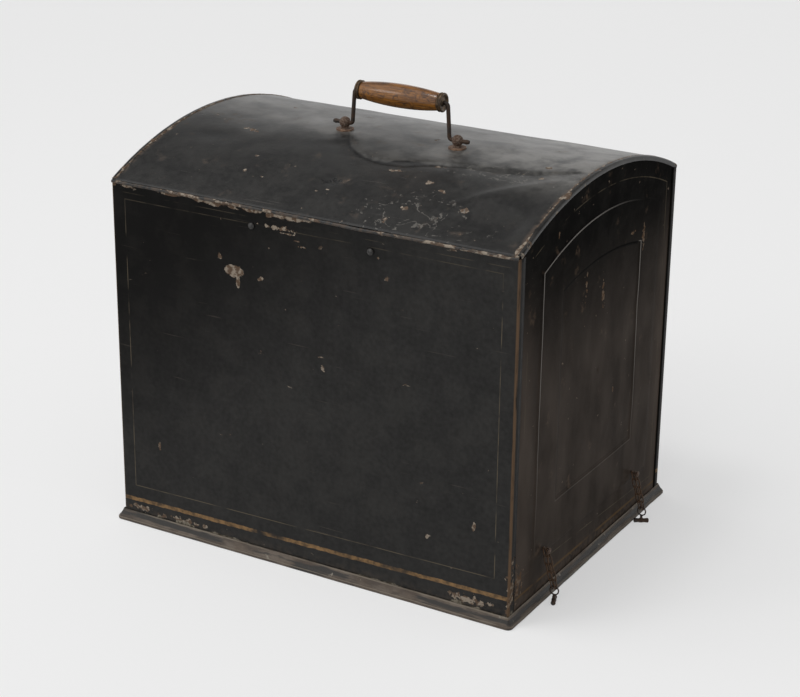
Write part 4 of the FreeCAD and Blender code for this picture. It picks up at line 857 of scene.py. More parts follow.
def end_rows(side, seed):
    """The stamped sheet in loops, from its edge to the middle of the sunk panel.

    Each stage is an arched loop (half width, foot, spring, crown and middle), how far it stands out,
    and the number of steps from it to the next."""
    spring = ARCH_CENTRE + math.sqrt(RIM_RADIUS ** 2 - END_HALF ** 2)
    stages = [(END_HALF, FOOT_GAP, spring, ARCH_CENTRE + RIM_RADIUS, 0.0, 0.0, 10),
              (133.6, 46.6, 347.0, 372.6, PANEL_Y, 0.0, 6),
              (131.0, 49.2, 345.0, 370.0, PANEL_Y, EMBOSS, 9),
              (88.2, 96.6, 315.3, 326.2, PANEL_Y, EMBOSS, 6),
              (86.0, 98.8, 313.7, 324.0, PANEL_Y, 0.0, 22),
              (0.01, 204.0, 204.01, 204.02, PANEL_Y, 0.0, 0)]
    rows = []
    for first, last in zip(stages, stages[1:]):
        steps = first[6]
        sloping = first[5] != last[5]
        for i in range(steps):
            t = i / steps
            half, low, spring, crown, mid = (a + (b - a) * t for a, b in zip(first[:5], last[:5]))
            out = first[5] + (last[5] - first[5]) * (ease(t, 0.0, 1.0) if sloping else t)
            rows.append((arch_loop(half, low, spring, crown, mid), out))
    rows.append((arch_loop(*stages[-1][:5]), 0.0))
    result = []
    for loop, out in rows:
        row = []
        for y, z in loop:
            under_rim = RIM_RADIUS - math.hypot(y, z - ARCH_CENTRE)
            free = ease(END_HALF - abs(y), 1.0, 30.0) * ease(z, 10.0, 60.0) * ease(under_rim, 1.0, 30.0)
            bow = free * (0.8 * wobble(y, z, 95.0, seed) + 0.4 * wobble(y, z, 33.0, seed + 3) - 0.15)
            row.append((side * (HALF_WIDTH + out + bow), y, z))
        result.append(row if side > 0 else row[::-1])
    return result


def rim_rows(side):
    """The turned edge: a flat strip on the roof that rolls over the corner and down the face."""
    section = [(-RIM_IN, 0.0), (-RIM_IN - 0.1, 0.9), (-RIM_IN + 0.3, 1.5), (-RIM_IN + 0.8, 1.6),
               (-2.6, 1.35), (-1.2, 1.4), (0.1, 1.3), (0.8, 0.7), (1.0, -0.3), (0.9, -3.0), (0.5, -3.5),
               (-0.4, -3.2), (-0.6, -0.3)]
    half = math.asin((END_HALF - 0.6) / RIM_RADIUS)
    count = 140
    rows = []
    for i in range(count + 1):
        a = half * (2 * i / count - 1)
        jog = 0.16 * wobble(i, side, 3.0, 61.0)
        row = []
        for dx, dr in section:
            radius = ARCH_RADIUS + dr + jog
            row.append((side * (HALF_WIDTH + dx), radius * math.sin(a), ARCH_CENTRE + radius * math.cos(a)))
        rows.append(row if side < 0 else row[::-1])
    return rows


def cut_slots(piece, side):
    """Cuts the two upright toggle slots through the sheet."""
    count = 24
    cutters = []
    for middle in SLOT_Y:
        outline = []
        for k in range(count):
            a = 2 * math.pi * k / count
            half = math.copysign(SLOT_HALF, math.sin(a) + 1e-9)
            outline.append((middle + SLOT_ROUND * math.cos(a), SLOT_Z + half + SLOT_ROUND * math.sin(a)))
        points = [Vector((side * (HALF_WIDTH + dx), y, z)) * MM for dx in (-6.0, 6.0) for y, z in outline]
        faces = [tuple(range(count)), tuple(range(2 * count - 1, count - 1, -1))]
        faces += [(k, k + count, (k + 1) % count + count, (k + 1) % count) for k in range(count)]
        mesh = bpy.data.meshes.new("slot_cutter")
        mesh.from_pydata(points, [], faces)
        cutter = bpy.data.objects.new("slot_cutter", mesh)
        bpy.context.scene.collection.objects.link(cutter)
        cutters.append(cutter)
        cut = piece.modifiers.new("slot", "BOOLEAN")
        cut.operation = "DIFFERENCE"
        cut.solver = "EXACT"
        cut.object = cutter
    settled = piece.evaluated_get(bpy.context.evaluated_depsgraph_get())
    piece.data = bpy.data.meshes.new_from_object(settled)
    piece.modifiers.clear()
    for cutter in cutters:
        bpy.data.objects.remove(cutter)


def end_surface(name, marks):
    material, tree, shader = new_surface(name, Specular_IOR_Level=0.0, Coat_Roughness=0.26)
    y, z = axes(tree, "YZ")
    up = minus(tree, z, ARCH_CENTRE * MM)
    from_centre = diagonal(tree, y, up)
    arch = minus(tree, from_centre, (ARCH_RADIUS - END_LINE_IN) * MM)
    lined_low = minus(tree, END_LINE_FOOT * MM, times(tree, y, END_LINE_SLOPE))
    lined = most(tree, arch, minus(tree, unsigned(tree, y), END_LINE_SIDE * MM), minus(tree, lined_low, z))
    thin = use(tree, painted_line, Distance=lined, Width=0.9 * MM, Kept=0.24)["Mask"]
    band_z = minus(tree, z, minus(tree, END_BAND_Z * MM, times(tree, y, END_BAND_SLOPE)))
    band = times(tree, use(tree, painted_line, Distance=band_z, Width=2.6 * MM, Kept=0.46)["Mask"], 0.7)
    # How far a place is outside the crest of the field and of the sunk panel. Each is its half width,
    # its foot, and the centre and radius of its arch.
    crests = []
    for half, low, centre, radius in ((130.6, 49.6, 17.0, 352.8), (88.2, 96.6, -34.3, 360.5)):
        y_in = minus(tree, y, PANEL_Y * MM)
        z_in = minus(tree, z, centre * MM)
        round_part = diagonal(tree, y_in, z_in)
        crests.append(most(tree, minus(tree, unsigned(tree, y_in), half * MM),
                           minus(tree, round_part, radius * MM), minus(tree, low * MM, z)))
    # Painted highlight: a light line on the lit crests, along the field's front side and arch and along the
    # sunk panel's rear side and foot.
    field_edge_highlight = use(tree, painted_line, Distance=crests[0], Width=1.3 * MM, Kept=0.95)["Mask"]
    field_edge_highlight = times(tree, field_edge_highlight, fade_down(tree, y, -0.06, 0.10))
    panel_edge_highlight = use(tree, painted_line, Distance=crests[1], Width=1.1 * MM, Kept=0.95)["Mask"]
    rear_and_low = most(tree,
                        fade(tree, y, (PANEL_Y + PANEL_SIDE) * MM, (PANEL_Y + PANEL_SIDE + 6.0) * MM),
                        fade_down(tree, z, 98.0 * MM, 102.0 * MM))
    panel_edge_highlight = times(tree, panel_edge_highlight, rear_and_low)
    crest = most(tree, field_edge_highlight, panel_edge_highlight)
    # Painted shade: a near black band inside the sunk panel's front side and top, the walls turned from the
    # light.
    sunk_edge_shade = minus(tree, 1.0,
                      fade(tree, unsigned(tree, plus(tree, crests[1], SINK_RUN * MM)), 0.8 * MM,
                           2.6 * MM))
    sunk_edge_shade = times(tree, sunk_edge_shade, minus(tree, 1.0, rear_and_low))
    near_foot = fade_down(tree, z, 10.0 * MM, 34.0 * MM)
    patchy = cloud(tree, object_place(tree), 44.0, 7.0)
    chips = fade(tree, plus(tree, patchy, times(tree, near_foot, 0.15)), 0.76, 0.79)
    chips = most(tree, chips, spots(tree, marks))
    rubs = times(tree, near_foot, 0.45)
    rubs = most(tree, rubs, times(tree, fade(tree, patchy, 0.60, 0.76), 0.6))
    wiped = cloud(tree, object_place(tree, (1.0, 1.0, 0.42)), 34.0, 10.0, 0.3)
    # Wiped haze with painted sheen: the end turns a lighter brown lower down and in strips along both upright
    # edges.
    low_haze_and_sheen = fade_down(tree, z, 200.0 * MM, 370.0 * MM)
    smoothed = spread(tree, wiped, 0.32, 0.62, 0.3, 0.7)
    low_haze_and_sheen = times(tree, low_haze_and_sheen, smoothed)
    strips = plus(tree, times(tree, fade(tree, y, 0.135, 0.160), 0.55),
                  times(tree, fade_down(tree, y, -0.155, -0.130), 0.30))
    low_haze_and_sheen = plus(tree, low_haze_and_sheen, times(tree, strips, times(tree, fade_down(tree, z, 0.26, 0.37), 0.6)))
    japan = use(tree, japan_wear, Haze=0.02, Specks=0.4, Rub=rubs, Chip=chips)
    colour = tint(tree, times(tree, low_haze_and_sheen, minus(tree, 1.0, chips)), japan["Color"],
                  (0.090, 0.069, 0.055))
    colour = tint(tree, times(tree, chips, 0.6), colour, (0.105, 0.060, 0.033))
    # Painted shade on the sunk panel's shaded walls.
    colour = tint(tree, times(tree, sunk_edge_shade, 0.8), colour, (0.003, 0.003, 0.003))
    # Painted highlight along the lit crests, fading out towards the foot.
    colour = tint(tree, times(tree, crest, fade(tree, z, 0.02, 0.30)), colour, (0.21, 0.195, 0.18))
    colour = tint(tree, thin, colour, THIN_GOLD)
    colour = tint(tree, band, colour, (0.13, 0.080, 0.036))
    paint(tree, shader, colour, japan["Roughness"], japan["Height"], 0.0004)
    polish = plus(tree, 0.12, times(tree, smoothed, fade_down(tree, z, 0.20, 0.37)))
    tree.links.new(times(tree, polish, 0.16), shader.inputs["Coat Weight"])
    return material


right_marks = face_marks(0, END_FACE,
                         [(97.0, 318.0, 3.0, 9.0, 0.8), (10.0, 285.0, 2.5, 10.0, 1.4),
                          (-30.0, 300.0, 1.6, 12.0, 1.5), (72.0, 330.0, 5.0, 1.6, 1.0),
                          (44.0, 170.0, 1.2, 3.0, 1.0), (-96.0, 372.0, 1.6, 3.0, 0.8),
                          (-157.0, 38.0, 6.0, 13.0, 1.5)])
left_marks = face_marks(0, -END_FACE, [(30.0, 210.0, 5.0, 9.0, 0.6)])
right_end = grid_piece("right_end_sheet", [(end_rows(1, 71.0), True)],
                       end_surface("stamped_japan_right", right_marks), "cover",
                       ["right_end_panel"], SHEET)
left_end = grid_piece("left_end_sheet", [(end_rows(-1, 83.0), True)],
                      end_surface("stamped_japan_left", left_marks), "cover",
                      ["left_end_panel"], SHEET)
cut_slots(right_end, 1)
cut_slots(left_end, -1)

rim_japan, tree, shader = new_surface("rubbed_rim", Specular_IOR_Level=0.22)
x = axes(tree, "X")[0]
inner_edge = fade_down(tree, unsigned(tree, x), (HALF_WIDTH - 3.2) * MM, (HALF_WIDTH - 2.2) * MM)
lost = fade(tree, plus(tree, cloud(tree, object_place(tree), 60.0, 7.0), times(tree, inner_edge, 0.14)),
            0.60, 0.65)
japan = use(tree, japan_wear, Haze=0.15, Specks=0.5, Rub=inner_edge, Chip=lost)
paint(tree, shader, japan["Color"], japan["Roughness"], japan["Height"], 0.0005)
grid_piece("arch_rims", [(rim_rows(1), True), (rim_rows(-1), True)], rim_japan, "cover")


# Foot moulding
# A drawn tin moulding soldered round the foot. Its paint is nearly gone: it is dented, dull grey
# brown metal with a black line left in the hollow.

HEM_OUT = 7.1
HEM_CORNER = 6.0
HEM_GRID = 5.0
HEM_STEP_Z = 3.2
HEM_SECTION = [(0.2, 0.5), (5.6, 0.35), (6.7, 0.5), (7.1, 1.0), (7.1, 2.9), (6.8, 3.3), (6.3, 3.4),
               (6.1, 3.8), (5.9, 4.6), (5.3, 5.0), (4.9, 5.2), (4.2, 6.3), (3.2, 7.8), (2.4, 9.0),
               (2.1, 9.4), (2.0, 10.0), (1.5, 10.4), (1.1, 10.6), (0.9, 11.2), (0.5, 11.5), (0.2, 11.4)]


def hem_path():
    """Corner centres with directions, and the straight runs between them, round from the front left."""
    path = []
    inset_x = HALF_WIDTH + HEM_OUT - HEM_CORNER
    inset_y = HALF_DEPTH + HEM_OUT - HEM_CORNER
    corners = [(-inset_x, -inset_y, math.pi), (inset_x, -inset_y, 1.5 * math.pi), (inset_x, inset_y, 0.0),
               (-inset_x, inset_y, 0.5 * math.pi)]
    for i, (x, y, start) in enumerate(corners):
        path += [(x, y, start + math.pi / 2 * k / 6) for k in range(7)]
        nx, ny = corners[(i + 1) % 4][:2]
        count = round(math.hypot(nx - x, ny - y) / HEM_GRID)
        path += [(x + (nx - x) * k / count, y + (ny - y) * k / count, start + math.pi / 2)
                 for k in range(1, count)]
    return path


def hem_rows():
    rows = []
    for x, y, a in hem_path():
        bent = 0.55 * wobble(x, y, 32.0, 91.0) + 0.25 * wobble(x, y, 9.0, 94.0) - 0.3
        row = []
        for out, z in HEM_SECTION:
            moved = bent * out / HEM_OUT
            reach = max(out - HEM_OUT + HEM_CORNER, 0.15) + moved
            row.append((x + reach * math.cos(a), y + reach * math.sin(a), max(z + 0.35 * moved, 0.3)))
        rows.append(row[::-1])
    return rows + [rows[0]]


hem_metal, tree, shader = new_surface("worn_moulding", Specular_IOR_Level=0.4)
x, z = axes(tree, "XZ")
rust = use(tree, rust_bloom, Size=60.0, Spread=0.5)
worn = use(tree, edge_wear, Radius=0.0008, Ragged=200.0)["Mask"]
streaks = cloud(tree, object_place(tree, (0.25, 0.25, 1.0)), 190.0, 7.0)
colour = tint(tree, fade(tree, streaks, 0.35, 0.66), (0.058, 0.044, 0.034), (0.130, 0.104, 0.082))
colour = tint(tree, times(tree, rust["Mask"], 0.5), colour, (0.070, 0.048, 0.033))
drawn = object_place(tree, (0.12, 0.12, 1.0))
hollow = times(tree, fade(tree, z, 4.6 * MM, 6.6 * MM), fade_down(tree, z, 8.4 * MM, 9.4 * MM))
left_paint = plus(tree, cloud(tree, drawn, 150.0, 7.0), times(tree, hollow, 0.14))
on_end = fade(tree, unsigned(tree, x), 229.0 * MM, 232.0 * MM)
left_paint = fade(tree, plus(tree, left_paint, times(tree, on_end, 0.12)), 0.58, 0.66)
colour = tint(tree, left_paint, colour, (0.019, 0.016, 0.013))
# Rubbed metal with a painted highlight: a lighter line along the top bead and at the step's edge.
bead_wear_and_highlight = fade(tree, cloud(tree, drawn, 90.0, 6.0), 0.38, 0.52)
bead = times(tree, fade(tree, z, 9.7 * MM, 10.5 * MM), bead_wear_and_highlight)
step_edge_highlight = use(tree, painted_line, Distance=minus(tree, z, HEM_STEP_Z * MM), Width=0.5 * MM,
                Kept=0.7)["Mask"]
colour = tint(tree, times(tree, most(tree, bead, step_edge_highlight), 0.8), colour, (0.185, 0.155, 0.118))
colour = tint(tree, fade(tree, cloud(tree, object_place(tree), 125.0, 6.0), 0.66, 0.71), colour,
              (0.21, 0.185, 0.15))
colour = tint(tree, times(tree, worn, 0.30), colour, (0.17, 0.145, 0.12))
paint(tree, shader, colour, spread(tree, left_paint, 0.62, 0.42), rust["Grit"], 0.0005)
grid_piece("foot_moulding_run", [(hem_rows(), False)], hem_metal, "cover", ["foot_moulding"])


# Handle studs, washers and nuts
# Ball headed iron studs that pass through rusted washers and the roof to square nuts inside. The
# balls are bored across for the bail and are pitted all over.

stud_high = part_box("handle_studs")[1][2] / MM
EYE = 5.75
PIVOT_Z = stud_high - EYE
STUDS_X = (HANDLE_X - STUD_SPACING / 2, HANDLE_X + STUD_SPACING / 2)
STUD_RISE = 7.4
BALL_START = 0.62


def stud_rows(x):
    """A collar and a ball, from the collar's foot up to the top of the ball."""
    profile = [(0.0, 0.05), (0.0, 4.6), (0.9, 4.9), (1.3, 4.2), (1.7, 3.6)]
    profile += [(STUD_RISE - EYE * math.cos(a), max(EYE * math.sin(a), 0.05))
                for a in (BALL_START + (math.pi - BALL_START) * k / 14 for k in range(15))]
    base = PIVOT_Z - STUD_RISE
    count = 28
    rows = []
    for up, radius in profile:
        row = []
        for k in range(count):
            a = 2 * math.pi * k / count
            rough = 1.0 + 0.03 * wobble(math.cos(a) * 9 + x, up * 2 + math.sin(a) * 9, 2.2, 101.0)
            row.append((x + radius * rough * math.cos(a), HANDLE_Y + radius * rough * math.sin(a), base + up))
        rows.append(row)
    return rows


pitted_iron, tree, shader = new_surface("pitted_iron", Metallic=0.3)
rust = use(tree, rust_bloom, Size=200.0, Spread=0.75)
pits = add(tree, "ShaderNodeTexVoronoi", {"Vector": object_place(tree), "Scale": 650.0}).outputs[0]
colour = tint(tree, rust["Mask"], (0.040, 0.030, 0.025), (0.090, 0.052, 0.034))
colour = tint(tree, fade(tree, pits, 0.45, 0.8), colour, (0.165, 0.120, 0.092))
paint(tree, shader, colour, spread(tree, rust["Mask"], 0.5, 0.8), plus(tree, rust["Grit"], pits), 0.0007)
grid_piece("stud_balls", [(stud_rows(x), True) for x in STUDS_X], pitted_iron, "cover",
           ["handle_studs"])

rusted_washer, tree, shader = new_surface("rusted_washer")
rust = use(tree, rust_bloom, Size=160.0, Spread=0.6)
colour = tint(tree, rust["Mask"], (0.215, 0.128, 0.078), (0.105, 0.060, 0.037))
paint(tree, shader, colour, spread(tree, rust["Grit"], 0.6, 0.9), rust["Grit"], 0.0004)
dress(rusted_washer, "handle_washers")
dress(pitted_iron, "handle_nuts")


# Bail
# One length of iron wire, bent square at both ends, sprung into the ball studs and spread at its tips
# so that it can't pull out. It turns in the studs.

WIRE = 2.1
GRIP_Z = PIVOT_Z + 36.0
LEG_IN = 9.0
LEG_LEAN = 2.5
TIP_OUT = 13.0
TIP_BEND = 3.0
GRIP_BEND = 4.0


def round_corners(corners, bends, sides):
    """The line through the corners, each inner corner turned in a bend of its radius."""
    line = [corners[0]]
    for i in range(1, len(corners) - 1):
        back = (corners[i - 1] - corners[i]).normalized()
        ahead = (corners[i + 1] - corners[i]).normalized()
        half = back.angle(ahead) / 2
        middle = corners[i] + (back + ahead).normalized() * bends[i - 1] / math.sin(half)
        start = corners[i] + back * bends[i - 1] / math.tan(half) - middle
        end = corners[i] + ahead * bends[i - 1] / math.tan(half) - middle
        whole = start.angle(end)
        for k in range(sides + 1):
            t = k / sides
            turned = start * math.sin((1 - t) * whole) + end * math.sin(t * whole)
            line.append(middle + turned / math.sin(whole))
    return line + [corners[-1]]


def tube_rows(line, radii, count, level):
    """Rings of round wire along a line that lies square to the level direction."""
    turns = [2 * math.pi * k / count for k in range(count)]
    rows = []
    for i, point in enumerate(line):
        ahead = (line[min(i + 1, len(line) - 1)] - line[max(i - 1, 0)]).normalized()
        across = ahead.cross(level).normalized()
        rows.append([point + (level * math.cos(a) + across * math.sin(a)) * radii[i] for a in turns])
    return rows


def bail_rows():
    """The wire from tip to tip. It swells in front of each tip, where it was hammered out."""
    foot = STUD_SPACING / 2 - LEG_IN
    end = STUD_SPACING / 2 + TIP_OUT
    half = [Vector((HANDLE_X + end, HANDLE_Y, PIVOT_Z)), Vector((HANDLE_X + foot, HANDLE_Y, PIVOT_Z)),
            Vector((HANDLE_X + foot - LEG_LEAN, HANDLE_Y, GRIP_Z))]
    other = [Vector((2 * HANDLE_X - p.x, p.y, p.z)) for p in reversed(half)]
    line = round_corners(half + other, [TIP_BEND, GRIP_BEND, GRIP_BEND, TIP_BEND], 7)
    extra = []
    for first, last in zip(line, line[1:]):
        steps = max(1, round((last - first).length / 2.5))
        extra += [first + (last - first) * k / steps for k in range(steps)]
    extra.append(line[-1])
    radii = []
    for p in extra:
        tip = end - abs(p.x - HANDLE_X)
        in_stud = p.z < PIVOT_Z + 1
        swell = 0.45 * ease(4.5 - tip, 0.0, 3.0) if in_stud else 0.0
        rounded_off = 0.72 if in_stud and tip < 0.2 else 1.0
        radii.append((WIRE + swell + 0.08 * wobble(p.x, p.z, 5.0, 111.0)) * rounded_off)
    count = 16
    rows = tube_rows(extra, radii, count, Vector((0.0, 1.0, 0.0)))
    return [[extra[0]] * count] + rows + [[extra[-1]] * count]


wire_iron, tree, shader = new_surface("bail_wire", Metallic=0.45)
rust = use(tree, rust_bloom, Size=130.0, Spread=0.6)
colour = tint(tree, rust["Mask"], (0.022, 0.017, 0.014), (0.056, 0.033, 0.021))
paint(tree, shader, colour, spread(tree, rust["Mask"], 0.4, 0.72), rust["Grit"], 0.0003)
grid_piece("bail_wire", [(bail_rows(), True)], wire_iron, "bail", ["handle_bail"])


# Grip
# A turned hardwood barrel, varnished and polished by hands, threaded on the bail between two iron
# caps with rolled rims.

GRIP_HALF = STUD_SPACING / 2 - LEG_IN - LEG_LEAN - GRIP_BEND
CAP = 5.0
BORE = WIRE + 0.06


def along_grip(along, a, b):
    return (HANDLE_X + along, HANDLE_Y + a, GRIP_Z + b)


def barrel_rows():
    half = GRIP_HALF - CAP
    steps = 40
    profile = [(-half, BORE), (-half, 7.6), (-half + 0.4, 8.5)]
    for k in range(steps + 1):
        s = 2 * k / steps - 1
        profile.append((s * (half - 1.0), 12.0 - 3.3 * abs(s) ** 2.1))
    profile += [(half - 0.4, 8.5), (half, 7.6), (half, BORE)]
    return turned_rows(profile, 48, along_grip)


def cap_rows(side):
    section = [(0.0, BORE), (0.0, 8.9), (0.3, 9.5), (0.9, 9.8), (1.5, 9.5), (1.9, 8.9), (2.4, 8.8),
               (2.9, 9.3), (3.5, 9.8), (4.2, 9.7), (4.8, 9.0), (5.0, 8.2), (4.7, 7.4), (3.9, 6.4),
               (3.4, 5.2), (3.4, 3.8), (4.0, 3.2), (4.2, BORE)]
    profile = [(side * (GRIP_HALF - CAP + along), radius) for along, radius in section]
    rows = turned_rows(profile, 48, along_grip)
    return rows if side > 0 else [row[::-1] for row in rows]


grip_wood, tree, shader = new_surface("hand_polished_wood", Coat_Roughness=0.14, Coat_Weight=0.6,
                                      Specular_IOR_Level=0.2)
grain = use(tree, wood_grain, Size=330.0)
place = object_place(tree, (0.4, 1.0, 1.0))
honey = tint(tree, fade(tree, cloud(tree, place, 60.0, 6.0), 0.36, 0.60), (0.085, 0.028, 0.005),
             (0.270, 0.106, 0.014))
colour = tint(tree, times(tree, grain["Grain"], 0.40), honey, (0.070, 0.026, 0.007))
colour = tint(tree, times(tree, grain["Pores"], 0.6), colour, (0.030, 0.013, 0.005))
grime = fade(tree, cloud(tree, object_place(tree), 150.0, 8.0, 0.8), 0.54, 0.66)
colour = tint(tree, times(tree, grime, 0.70), colour, (0.045, 0.018, 0.007))
rubbed = fade(tree, cloud(tree, place, 150.0, 7.0), 0.62, 0.70)
colour = tint(tree, times(tree, rubbed, 0.5), colour, (0.36, 0.19, 0.065))
paint(tree, shader, colour, spread(tree, grime, 0.30, 0.42), plus(tree, grain["Grain"], grime), 0.0002)
grid_piece("grip_barrel", [(barrel_rows(), True)], grip_wood, "grip", ["handle_grip"])
dress(grip_wood, "crank_grip")

cap_bronze, tree, shader = new_surface("dull_bronze_cap", Metallic=0.5)
dull = cloud(tree, object_place(tree), 220.0, 6.0)
bright_edge = use(tree, edge_wear, Radius=0.0006, Ragged=300.0)["Mask"]
colour = tint(tree, fade(tree, dull, 0.36, 0.62), (0.045, 0.030, 0.020), (0.115, 0.072, 0.038))
colour = tint(tree, times(tree, bright_edge, 0.8), colour, (0.27, 0.185, 0.105))
paint(tree, shader, colour, spread(tree, dull, 0.5, 0.3), dull, 0.0002)
grid_piece("grip_end_caps", [(cap_rows(1), True), (cap_rows(-1), True)], cap_bronze, "grip",
           ["grip_caps"])


# Chains and toggles
# Each toggle hangs on a doubled length of rusted iron chain from a round headed nail in the end wall.
# Put through its slot and turned, it locks the cover down on the board.

NAIL_Z = 55.0
NAIL = 0.9
NAIL_OUT = 8.6
LINK_BAR = 1.3
LINK_WIDTH = 5.2
LINKS = 5
LINK_PLAY = 0.35
JOINT_PLAY = 0.54
RING = 4.6
RING_WIRE = 0.7
RING_Z = 13.4
RING_PLAY = 1.1
STRAND_IN = 2.8
STRAND_SPACING = 3.45
STRAND_BOW = 1.05
TOGGLE_OUT = 15.9
TOGGLE_BAR = 2.5
TOGGLE_HALF = 8.0
FLOOR_GAP = 0.3


def link_rows(opening):
    """An oval link of round wire, standing upright round the origin."""
    radius = (LINK_WIDTH - LINK_BAR) / 2
    half = opening / 2 - (LINK_WIDTH / 2 - LINK_BAR)
    square = Vector((1.0, 0.0, 0.0))
    count = 20
    rows = []
    for k in range(count):
        a = 2 * math.pi * k / count
        away = Vector((0.0, math.cos(a), math.sin(a)))
        middle = away * radius + Vector((0.0, 0.0, math.copysign(half, math.sin(a) + 1e-9)))
        rows.append([middle + (away * math.cos(b) + square * math.sin(b)) * LINK_BAR / 2
                     for b in (2 * math.pi * j / 8 for j in range(8))])
    return rows + [rows[0]]


def on_side(rows, side):
    """The rows as they are for the right side, or mirrored for the left one."""
    return [[Vector((side * p[0], p[1], p[2])) for p in (row if side > 0 else row[::-1])] for row in rows]


def strand_grids(y, x_top, x_low, bow, side):
    """One strand of links from the nail down to the ring, each link turned square to the last."""
    z_top = NAIL_Z + NAIL + LINK_PLAY
    z_low = RING_Z + RING - RING_WIRE - RING_PLAY
    joints = []
    for i in range(LINKS + 1):
        s = i / LINKS
        joints.append(Vector((x_top + (x_low - x_top) * s, y + bow * 4 * s * (1 - s),
                              z_top + (z_low - z_top) * s)))
    grids = []
    for i in range(LINKS):
        run = joints[i] - joints[i + 1]
        turn = Vector((0.0, 0.0, 1.0)).rotation_difference(run).to_matrix()
        turn = turn @ Matrix.Rotation(math.radians(90.0 * (i % 2)), 3, "Z")
        middle = (joints[i] + joints[i + 1]) / 2
        rows = [[turn @ p + middle for p in row] for row in link_rows(run.length + JOINT_PLAY)]
        grids.append((on_side(rows, side), True))
    return grids


def chain_grids(y, side):
    x_top = HALF_WIDTH + STRAND_IN
    x_low = HALF_WIDTH + TOGGLE_OUT
    half = STRAND_SPACING / 2
    return (strand_grids(y, x_top, x_low - half, -STRAND_BOW, side)
            + strand_grids(y, x_top + STRAND_SPACING, x_low + half, STRAND_BOW, side))


def toggle_grids(y, turn, side):
    """Cross bar with dished tips, tapered neck, and the ring that the chain goes through."""
    x = HALF_WIDTH + TOGGLE_OUT
    mid = FLOOR_GAP + TOGGLE_BAR
    way = Vector((math.cos(math.radians(turn)), math.sin(math.radians(turn)), 0.0))
    across = Vector((-way.y, way.x, 0.0))
    bar = [(-TOGGLE_HALF, 0.05), (-TOGGLE_HALF, 1.5), (-TOGGLE_HALF + 0.5, 2.2),
           (-TOGGLE_HALF + 1.4, 2.5), (-3.0, 2.05), (-1.4, 2.4), (0.0, 2.5), (1.4, 2.4), (3.0, 2.05),
           (TOGGLE_HALF - 1.4, 2.5), (TOGGLE_HALF - 0.5, 2.2), (TOGGLE_HALF, 1.5), (TOGGLE_HALF, 0.05)]
    neck = [(mid, 1.9), (mid + 2.4, 1.7), (mid + 3.4, 1.35), (RING_Z - RING - 0.6, 1.35),
            (RING_Z - RING, 1.6)]
    bar_middle = Vector((x, y, mid))
    ring_middle = Vector((x, y, RING_Z))
    square = Vector((0.0, 1.0, 0.0))
    count = 24
    ring = []
    for k in range(count + 1):
        a = 2 * math.pi * k / count
        away = Vector((math.cos(a), 0.0, math.sin(a)))
        ring.append([ring_middle + away * RING + (away * math.cos(b) + square * math.sin(b)) * RING_WIRE
                     for b in (2 * math.pi * j / 10 for j in range(10))])
    parts = [turned_rows(bar, 16, lambda s, a, b: bar_middle + way * s + across * a + Vector((0, 0, b))),
             turned_rows(neck, 16, lambda s, a, b: Vector((x + a, y + b, s))), ring]
    return [(on_side(rows, side), True) for rows in parts]


def nail_rows(y, side):
    """The shank through the sheet and the round head that keeps the chain on."""
    profile = [(-3.0, 0.05), (-3.0, NAIL), (NAIL_OUT, NAIL), (NAIL_OUT, 2.9), (NAIL_OUT + 0.3, 3.2),
               (NAIL_OUT + 0.8, 3.0), (NAIL_OUT + 1.3, 2.1), (NAIL_OUT + 1.6, 0.8),
               (NAIL_OUT + 1.6, 0.05)]
    rows = turned_rows(profile, 18, lambda s, a, b: (side * (HALF_WIDTH + s), y + a, NAIL_Z + b))
    return rows if side > 0 else [row[::-1] for row in rows]


chain_iron, tree, shader = new_surface("rusted_chain", Metallic=0.4)
rust = use(tree, rust_bloom, Size=260.0, Spread=0.7)
colour = tint(tree, rust["Mask"], (0.042, 0.030, 0.020), (0.088, 0.046, 0.022))
colour = tint(tree, fade(tree, rust["Grit"], 0.55, 0.7), colour, (0.016, 0.012, 0.009))
paint(tree, shader, colour, spread(tree, rust["Grit"], 0.45, 0.85), rust["Grit"], 0.0003)
for side, hand in ((1, "right"), (-1, "left")):
    for place, y, turn in (("front", SLOT_Y[0], 110.0), ("rear", SLOT_Y[1], 30.0)):
        label = place + "_" + hand
        grid_piece("chain_links_" + label, chain_grids(y, side), chain_iron, "chain_link_" + label,
                   ["chain_" + label])
        grid_piece("toggle_" + label + "_forged", toggle_grids(y, turn, side), wire_iron,
                   "toggle_bar_" + label, ["toggle_" + label])
grid_piece("chain_nail_heads", [(nail_rows(y, side), True) for y in SLOT_Y for side in (1, -1)],
           pitted_iron, "cover", ["chain_nails"])


# Room
# A pale floor, pale walls under a darker ceiling, one very soft light and two lamps from above and
# the front left, and a camera that looks down on the right front corner.

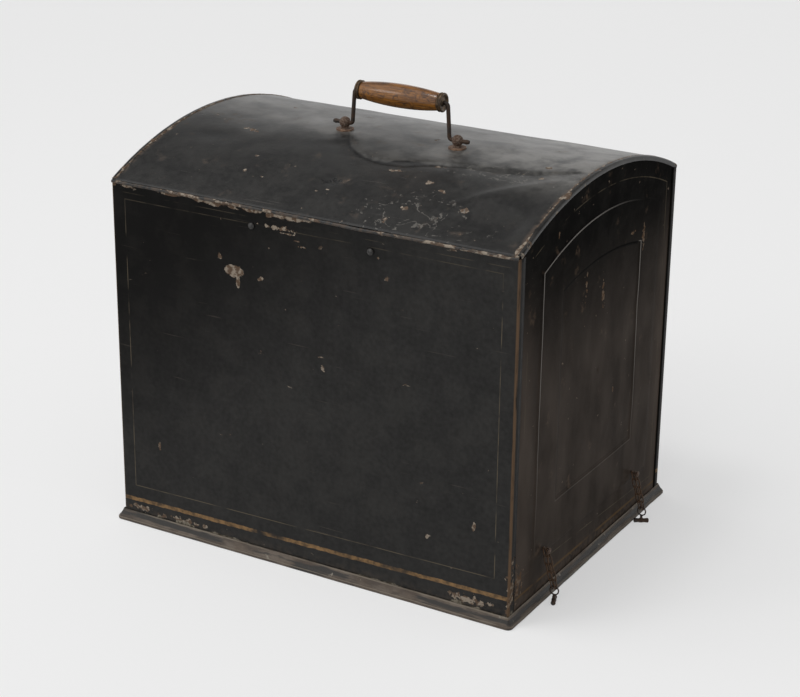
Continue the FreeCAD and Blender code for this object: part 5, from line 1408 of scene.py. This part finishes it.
floor_surface, tree, shader = new_surface("pale_floor", Roughness=0.9, Specular_IOR_Level=0.1,
                                          Emission_Strength=1.0)
shader.inputs["Base Color"].default_value = (0.45, 0.45, 0.45, 1.0)
shader.inputs["Emission Color"].default_value = (0.455, 0.455, 0.455, 1.0)
seen = add(tree, "ShaderNodeLightPath").outputs
seen = most(tree, seen["Is Camera Ray"], seen["Is Glossy Ray"], seen["Is Transmission Ray"])
tree.links.new(seen, shader.inputs["Emission Strength"])
floor = bpy.data.objects.new("floor", bpy.data.meshes.new("floor"))
reach = 8.0
floor.data.from_pydata([(-reach, -reach, 0), (reach, -reach, 0), (reach, reach, 0), (-reach, reach, 0)],
                       [], [(0, 1, 2, 3)])
floor.data.materials.append(floor_surface)
bpy.context.scene.collection.objects.link(floor)

world = bpy.data.worlds.new("studio")
bpy.context.scene.world = world
world.use_nodes = True
tree = world.node_tree
height = add(tree, "ShaderNodeSeparateXYZ",
             {0: add(tree, "ShaderNodeTexCoord").outputs["Generated"]}).outputs[2]
wall_glow = tint(tree, fade(tree, height, 0.14, 0.62), (1.0, 1.0, 1.0), (0.26, 0.26, 0.26))
tree.links.new(wall_glow, tree.nodes["Background"].inputs["Color"])


def aimed(name, lamp, place, aim):
    thing = bpy.data.objects.new(name, lamp)
    bpy.context.scene.collection.objects.link(thing)
    thing.location = place
    thing.rotation_euler = (Vector(aim) - Vector(place)).to_track_quat("-Z", "Y").to_euler()


overhead = bpy.data.lights.new("overhead", "SUN")
overhead.angle = math.radians(80)
overhead.energy = 1.25
aimed("overhead", overhead, (-1.1, -1.5, 3.0), (0.0, 0.0, 0.2))
side = bpy.data.lights.new("left_side", "AREA")
side.size = 0.7
side.energy = 6.0
aimed("left_side", side, (-1.6, -1.9, 1.9), (0.0, 0.0, 0.3))
hood = bpy.data.lights.new("hood", "AREA")
hood.size = 0.55
hood.energy = 13.0
aimed("hood", hood, (-0.33, -0.58, 2.9), (0.0, 0.0, 0.3))

camera = bpy.data.cameras.new("camera")
camera.lens = 92.2286
camera.sensor_width = 36.0
viewer = bpy.data.objects.new("camera", camera)
bpy.context.scene.collection.objects.link(viewer)
right = Vector((0.86243841, 0.50604798, 0.01074425))
up = Vector((-0.1928368, 0.30887033, 0.93135014))
back = Vector((0.46798928, -0.80530402, 0.3639663))
turn = Matrix((right, up, back)).transposed()
viewer.matrix_world = Matrix.Translation((1.0081613, -1.7285762, 0.9633737)) @ turn.to_4x4()
bpy.context.scene.camera = viewer
bpy.context.scene.view_settings.view_transform = "Standard"
